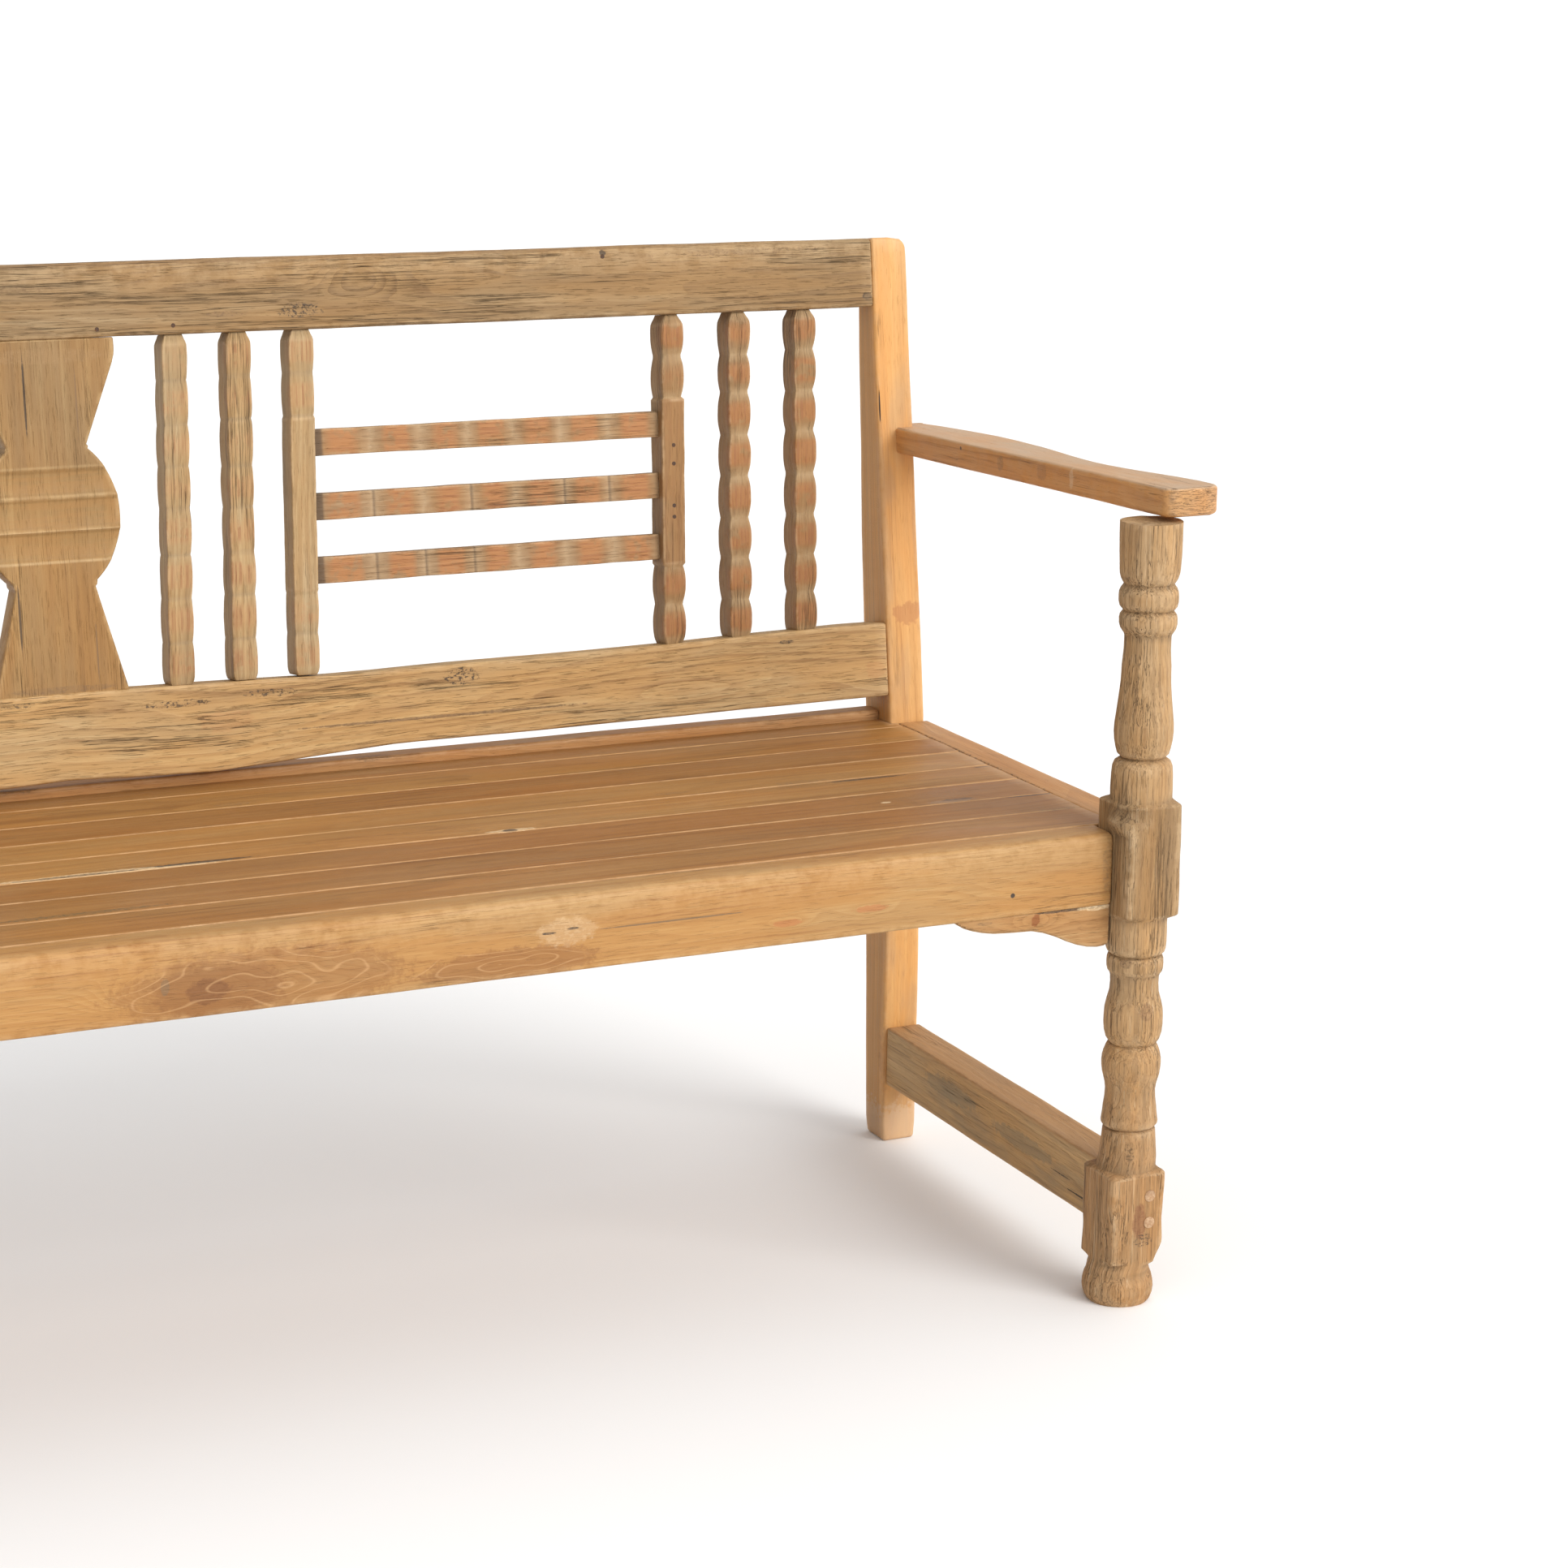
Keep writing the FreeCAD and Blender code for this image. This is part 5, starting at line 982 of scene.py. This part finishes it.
for side, hand in ((1, "right"), (-1, "left")):
    bracket = bmesh.new()
    bmesh.ops.create_grid(bracket, x_segments=64, y_segments=8, size=0.5,
                          matrix=Matrix.Translation((0.5, 0, 0.5)) @ Matrix.Rotation(math.pi / 2, 4, "X"))
    backing = bmesh.ops.extrude_face_region(bracket, geom=bracket.faces[:])["geom"]
    for point in [part for part in backing if isinstance(part, bmesh.types.BMVert)]:
        point.co.y += bracket_high.y - bracket_low.y
    for point in bracket.verts:
        point.co.x = 0.6735 + point.co.x * (apron_half - 0.6735)
        foot = along(bracket_line, point.co.x)
        point.co.z = foot + point.co.z * (apron_low.z + 0.0002 - foot)
    bmesh.ops.recalc_face_normals(bracket, faces=bracket.faces[:])
    rim = [edge for edge in bracket.edges if edge.calc_face_angle(0.0) > 1.2
           and edge.verts[0].co.z < apron_low.z - 0.001]
    bmesh.ops.bevel(bracket, geom=rim, offset=0.0022, segments=3, profile=0.5, affect="EDGES", material=-1)
    remember_grain(bracket, 91 + side)
    for point in bracket.verts:
        drift = handwork(point.co.copy(), 0.04, 0.0006, 91 + side)
        point.co = Vector((side * point.co.x, bracket_low.y + point.co.y + drift.y * 0.5, point.co.z))
    fit("ogee_bracket_" + hand, bracket, bracket_teak, "teak_seat", "apron_bracket_" + hand)

# ---------------------------------------------------------------------------------------------
# Bearers. Three sawn battens under the planks, from the front rail to the back rail, unfinished.
# ---------------------------------------------------------------------------------------------
sawn_teak, tree, grain, place = new_teak("Sawn teak")
teak = use(tree, teak_grain, Grain=grain, Rings=160.0, Figure=0.4, Pale=(0.56, 0.40, 0.23, 1),
           Middle=(0.45, 0.29, 0.15, 1), Deep=(0.28, 0.16, 0.07, 1))
edges = use(tree, handled, Place=place)
saw_marks = stretched_noise(tree, grain, (420, 12, 12), 2.0, 0.5)
colour = tint(tree, sums(tree, "MULTIPLY", within(tree, saw_marks, 0.45, 0.6), 0.25), teak["Color"],
              (0.34, 0.22, 0.12, 1))
colour = tint(tree, sums(tree, "MULTIPLY", edges["Worn"], 0.3), colour, (0.66, 0.48, 0.29, 1))
relief = sums(tree, "MULTIPLY_ADD", saw_marks, 0.8, teak["Height"])
surface(tree, colour, within(tree, saw_marks, 0.3, 0.7, 0.72, 0.85), relief, 0.0006, 0.2)

for hand, seed in (("left", 101), ("centre", 103), ("right", 105)):
    low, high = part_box("seat_bearer_" + hand)
    bearer = stock(high.y - low.y - 0.020, high.x - low.x, high.z - low.z, 0.0015, 24, seed)
    for point in bearer.verts:
        s, depth, height = point.co
        drift = handwork(Vector((s, depth, height)), 0.08, 0.0006, seed)
        point.co = Vector((low.x + depth + drift.y, low.y + 0.010 + s, low.z + height))
    fit("sawn_bearer_" + hand, bearer, sawn_teak, "teak_hidden", "seat_bearer_" + hand)

# ---------------------------------------------------------------------------------------------
# Side stretchers. A board low down on each side, from the leg's lower block to the post. The inner
# face is weathered grey-green with long checks; the top edge is rubbed to a reddish tan.
# ---------------------------------------------------------------------------------------------
grey_teak, tree, grain, place = new_teak("Weathered stretcher teak")
teak = use(tree, teak_grain, Grain=grain, Rings=150.0, Figure=0.42, Pale=(0.638, 0.425, 0.213, 1),
           Middle=(0.485, 0.313, 0.147, 1), Deep=(0.293, 0.177, 0.0759, 1))
checks = use(tree, open_grain, Grain=grain, Amount=0.42, Width=0.018)
edges = use(tree, handled, Place=place)
facing = put(tree, "ShaderNodeSeparateXYZ",
             {0: put(tree, "ShaderNodeNewGeometry").outputs["Normal"]}).outputs["Z"]
upward = within(tree, facing, 0.35, 0.8)
bruised = stretched_noise(tree, grain, (7, 30, 30), 3.0, 0.55)
colour = tint(tree, within(tree, bruised, 0.52, 0.68, 0.0, 0.55), teak["Color"], (0.27, 0.205, 0.125, 1))
colour = tint(tree, sums(tree, "MULTIPLY", upward, 0.75), colour, (0.41, 0.225, 0.10, 1))
colour = tint(tree, sums(tree, "MULTIPLY", edges["Worn"], 0.5), colour, (0.56, 0.34, 0.17, 1))
for centre, spread, tone, share, broken in (
        ((0.846, -0.205, 0.078), (0.02, 0.030, 0.0012), soot, 0.95, 0.1),
        ((0.846, -0.165, 0.088), (0.02, 0.022, 0.0010), soot, 0.9, 0.3),
        ((0.846, 0.170, 0.108), (0.02, 0.030, 0.0010), umber, 0.8, 0.3),
        ((0.846, 0.06, 0.100), (0.02, 0.060, 0.012), (0.20, 0.18, 0.12, 1), 0.5, 0.2),
        ((0.846, -0.09, 0.095), (0.02, 0.070, 0.010), (0.20, 0.18, 0.12, 1), 0.5, 0.2)):
    stain = use(tree, mark, Place=place, Centre=centre, Reach=spread, Ragged=0.35, Broken=broken)
    colour = tint(tree, sums(tree, "MULTIPLY", stain["Mask"], share), colour, tone)
colour = tint(tree, sums(tree, "MULTIPLY", checks["Cracks"], 0.7), colour, (0.12, 0.08, 0.045, 1))
relief = sums(tree, "MULTIPLY_ADD", checks["Cracks"], -1.0, teak["Height"])
surface(tree, colour, within(tree, teak["Height"], 0.0, 1.0, 0.68, 0.54), relief, 0.0006)
for hand, seed in (("right", 111), ("left", 114)):
    fore_and_aft("grey_stretcher_" + hand, "side_stretcher_" + hand, grey_teak, "teak_grey", 0.0024, seed,
                 0.0009)

# ---------------------------------------------------------------------------------------------
# Arms. A flat board that rests on the outer part of each front leg, waisted on its outer side. Its
# back end butts against the post and laps past it. The top is weathered grey with a painted grey sheen
# on it, and the sides are orange.
# ---------------------------------------------------------------------------------------------
arm_front, arm_back, arm_thickness = -0.021, 0.532, 0.0255
arm_slope = math.radians(1.8)
arm_inner = [(-0.021, 0.862), (0.5, 0.862), (0.534, 0.8635)]
arm_outer = [(-0.021, 0.918), (0.0, 0.9215), (0.022, 0.9222), (0.05, 0.9200), (0.08, 0.9150), (0.12, 0.9080),
             (0.15, 0.9045), (0.175, 0.9045), (0.20, 0.9065), (0.25, 0.9125), (0.30, 0.9185), (0.35, 0.9225),
             (0.40, 0.9240), (0.45, 0.9200), (0.50, 0.9120), (0.535, 0.9050)]

arm_teak, tree, grain, place = new_teak("Arm teak")
teak = use(tree, teak_grain, Grain=grain, Rings=130.0, Figure=0.34, Pale=(0.66, 0.339, 0.114, 1),
           Middle=(0.552, 0.266, 0.0836, 1), Deep=(0.336, 0.141, 0.0396, 1))
checks = use(tree, open_grain, Grain=grain, Amount=0.30, Width=0.014)
edges = use(tree, handled, Place=place)
facing = put(tree, "ShaderNodeSeparateXYZ", {0: put(tree, "ShaderNodeNewGeometry").outputs["Normal"]}).outputs
upward = within(tree, facing["Z"], 0.4, 0.85)
# Upward faces turn grey, partly weathering and partly a painted sheen standing in for the grey reflection on
# the top; this noise makes it patchy.
weathering_and_sheen_noise = stretched_noise(tree, place, (18, 9, 18), 3.0, 0.6)
colour = tint(tree, sums(tree, "MULTIPLY", upward, within(tree, weathering_and_sheen_noise, 0.3, 0.65, 0.45, 0.85)),
              teak["Color"],
              (0.50, 0.36, 0.235, 1))
end_grain = within(tree, sums(tree, "MULTIPLY", facing["Y"], -1.0), 0.6, 0.9)
end_cracks = stretched_noise(tree, place, (60, 60, 700), 3.0, 0.6, 0.5)
end_cracks = within(tree, sums(tree, "ABSOLUTE", sums(tree, "SUBTRACT", end_cracks, 0.5)), 0.0, 0.03, 1.0,
                    0.0)
end_cracks = sums(tree, "MULTIPLY", end_cracks, end_grain)
colour = tint(tree, sums(tree, "MULTIPLY", end_grain, 0.4), colour, (0.50, 0.30, 0.15, 1))
colour = tint(tree, sums(tree, "MULTIPLY", end_cracks, 0.7), colour, (0.16, 0.08, 0.04, 1))
for centre, spread, tone, share, broken in (
        ((0.862, -0.115, 0.748), (0.02, 0.004, 0.012), (0.70, 0.52, 0.34, 1), 0.5, 0.3),
        ((0.862, 0.02, 0.742), (0.02, 0.006, 0.008), umber, 0.6, 0.5),
        ((0.862, 0.10, 0.745), (0.02, 0.002, 0.002), soot, 0.9, 0.0),
        ((0.862, -0.06, 0.745), (0.02, 0.010, 0.010), (0.30, 0.14, 0.06, 1), 0.5, 0.3)):
    stain = use(tree, mark, Place=place, Centre=centre, Reach=spread, Ragged=0.4, Broken=broken)
    colour = tint(tree, sums(tree, "MULTIPLY", stain["Mask"], share), colour, tone)
colour = tint(tree, sums(tree, "MULTIPLY", edges["Worn"], 0.3), colour, (0.56, 0.37, 0.22, 1))
colour = tint(tree, sums(tree, "MULTIPLY", checks["Cracks"], 0.6), colour, (0.17, 0.09, 0.045, 1))
relief = sums(tree, "MULTIPLY_ADD", checks["Cracks"], -0.8, teak["Height"])
relief = sums(tree, "MULTIPLY_ADD", end_cracks, -0.8, relief)
surface(tree, colour, within(tree, teak["Cloud"], 0.2, 0.8, 0.44, 0.58), relief, 0.0004, 0.35)

for side, hand in ((1, "right"), (-1, "left")):
    arm = bmesh.new()
    bmesh.ops.create_grid(arm, x_segments=120, y_segments=12, size=0.5,
                          matrix=Matrix.Translation((0.5, 0.5, 0)))
    lifted = bmesh.ops.extrude_face_region(arm, geom=arm.faces[:])["geom"]
    for point in [part for part in lifted if isinstance(part, bmesh.types.BMVert)]:
        point.co.z += arm_thickness
    for point in arm.verts:
        share = point.co.x
        y = arm_front + (arm_back - arm_front) * (share ** 1.8 * 0.55 + share * 0.45)
        inner, outer = along(arm_inner, y), along(arm_outer, y)
        front = y - arm_front
        if front < 0.010:
            inner += 0.010 - math.sqrt(max(0.0, 0.010 ** 2 - (0.010 - front) ** 2))
        if front < 0.016:
            outer -= 0.016 - math.sqrt(max(0.0, 0.016 ** 2 - (0.016 - front) ** 2))
        point.co.x, point.co.y = inner + (outer - inner) * point.co.y, y
    bmesh.ops.recalc_face_normals(arm, faces=arm.faces[:])
    rim = [edge for edge in arm.edges if edge.calc_face_angle(0.0) > 1.2
           and edge.verts[0].co.y < arm_back - 0.002
           and abs(edge.verts[0].co.z - edge.verts[1].co.z) < 0.001]
    bmesh.ops.bevel(arm, geom=rim, offset=0.0034, segments=4, profile=0.5, affect="EDGES", material=-1)
    remember_grain(arm, 121 + side, Matrix(((0, 1, 0), (1, 0, 0), (0, 0, 1))))
    for point in arm.verts:
        x, y, z = point.co
        drift = handwork(Vector((x, y, z)), 0.07, 0.0008, 121 + side)
        drift += handwork(Vector((x, y, z)), 0.02, 0.0002, 123)
        lift = seat_top + 0.312 - arm_thickness - y * math.sin(arm_slope)
        point.co = Vector((side * (x + drift.x * 0.5), leg_middle_y + y, lift + z + drift.z * 0.5))
    fit("scooped_arm_" + hand, arm, arm_teak, "teak_orange", "armrest_" + hand)

# ---------------------------------------------------------------------------------------------
# Fixings. Plugs of end grain over the stretcher screws, steel screws under the seat, and the dark
# heads of old nails in the top rail and the fourth spindle. The CAD solids carry the metal.
# ---------------------------------------------------------------------------------------------
plug_radius = 0.0055
plug_teak, tree, grain, place = new_teak("Plug end grain")
rings = put(tree, "ShaderNodeTexNoise", {"Vector": place, "Scale": 520.0, "Detail": 3.0}).outputs["Fac"]
edges = use(tree, handled, Place=place)
colour = tint(tree, within(tree, rings, 0.35, 0.65), (0.52, 0.34, 0.20, 1), (0.40, 0.23, 0.12, 1))
colour = tint(tree, sums(tree, "MULTIPLY", edges["Worn"], 0.6), colour, (0.20, 0.11, 0.06, 1))
surface(tree, colour, within(tree, rings, 0.3, 0.7, 0.55, 0.7), rings, 0.0003, 0.3)
plugs = bmesh.new()
for side in (-1, 1):
    for lift in (-0.013, 0.013):
        centre = Vector((side * (leg_axis + 0.008), leg_middle_y - half_block + 0.0036, 0.094 + lift))
        turn = Matrix.Translation(centre) @ Matrix.Rotation(math.pi / 2, 4, "X")
        made = bmesh.ops.create_cone(plugs, cap_ends=True, segments=28, radius1=plug_radius,
                                     radius2=plug_radius,
                                     depth=0.0080, matrix=turn)["verts"]
        face = [f for f in plugs.faces if len(f.verts) > 8 and f.verts[0] in made
                and f.calc_center_median().y < centre.y]
        bmesh.ops.inset_region(plugs, faces=face, thickness=0.0012, depth=0.0003)
remember_grain(plugs, 131)
fit("end_grain_plugs", plugs, plug_teak, "teak_orange", "stretcher_plugs")


def metal_finish(name, bright, dull, roughness, metallic, scale):
    """Metal with blotches of tarnish, read from the object's own place."""
    material = bpy.data.materials.new(name)
    material.use_nodes = True
    tree = material.node_tree
    place = put(tree, "ShaderNodeTexCoord").outputs["Object"]
    blotch = put(tree, "ShaderNodeTexNoise", {"Vector": place, "Scale": scale, "Detail": 4.0}).outputs["Fac"]
    colour = tint(tree, within(tree, blotch, 0.4, 0.65), bright, dull)
    surface(tree, colour, within(tree, blotch, 0.3, 0.7, roughness, roughness + 0.3), blotch, 0.0002, 0.5)
    tree.links.new(within(tree, blotch, 0.4, 0.7, metallic, metallic * 0.6),
                   tree.nodes["Principled BSDF"].inputs["Metallic"])
    return material


zinc = metal_finish("Zinc screw", (0.62, 0.62, 0.60, 1), (0.38, 0.37, 0.35, 1), 0.35, 0.95, 900.0)
iron = metal_finish("Rusted nail", (0.05, 0.04, 0.035, 1), (0.16, 0.07, 0.03, 1), 0.6, 0.5, 1400.0)
for node, metal in (("stretcher_screws", zinc), ("bearer_screws", zinc), ("rail_nails", iron)):
    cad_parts[node].data.materials.clear()
    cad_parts[node].data.materials.append(metal)

# ---------------------------------------------------------------------------------------------
# The studio: a plain pale floor, a soft key light from the front right and white light all round,
# and the camera, which looks down a little on the bench's right half from the left.
# ---------------------------------------------------------------------------------------------
floor_mesh = bmesh.new()
bmesh.ops.create_grid(floor_mesh, x_segments=2, y_segments=2, size=90)
mesh = bpy.data.meshes.new("studio_floor")
floor_mesh.to_mesh(mesh)
floor_mesh.free()
floor = bpy.data.objects.new("studio_floor", mesh)
bpy.context.scene.collection.objects.link(floor)
paper = bpy.data.materials.new("Studio paper")
paper.use_nodes = True
paper.node_tree.nodes["Principled BSDF"].inputs["Base Color"].default_value = (0.90, 0.90, 0.90, 1)
paper.node_tree.nodes["Principled BSDF"].inputs["Roughness"].default_value = 0.9
paper.node_tree.nodes["Principled BSDF"].inputs["Specular IOR Level"].default_value = 0.0
mesh.materials.append(paper)

world = bpy.data.worlds.new("Studio")
bpy.context.scene.world = world
world.use_nodes = True
sky = world.node_tree
towards = put(sky, "ShaderNodeTexCoord").outputs["Generated"]
facing = put(sky, "ShaderNodeVectorMath", {0: towards, 1: (0.62, -0.62, 0.48)},
             operation="DOT_PRODUCT").outputs["Value"]
sky.nodes["Background"].inputs["Color"].default_value = (1.0, 1.0, 1.0, 1)
sky.links.new(within(sky, facing, -0.8, 0.9, 0.40, 1.20), sky.nodes["Background"].inputs["Strength"])

key = bpy.data.lights.new("Key", "SUN")
key.energy = 2.0
key.angle = math.radians(35)
key.color = (1.0, 0.985, 0.96)
key_lamp = bpy.data.objects.new("Key", key)
key_lamp.rotation_euler = Vector((0.42, -0.80, 0.48)).to_track_quat("Z", "Y").to_euler()
bpy.context.scene.collection.objects.link(key_lamp)
bpy.context.scene.view_settings.view_transform = "Standard"

lens = bpy.data.cameras.new("Camera")
lens.lens = 80.71
lens.sensor_width = 36
lens.clip_end = 400
camera = bpy.data.objects.new("Camera", lens)
right = Vector((0.90323639, -0.42895483, 0.01271944))
down = Vector((-0.09252833, -0.22360476, -0.97027801))
ahead = Vector((0.41904957, 0.8752135, -0.24165843))
turned = Matrix((right, -down, -ahead)).transposed().to_4x4()
camera.matrix_world = Matrix.Translation((-0.75917, leg_middle_y - 2.63331, 1.25318)) @ turned
bpy.context.scene.collection.objects.link(camera)
bpy.context.scene.camera = camera

bpy.context.view_layer.update()
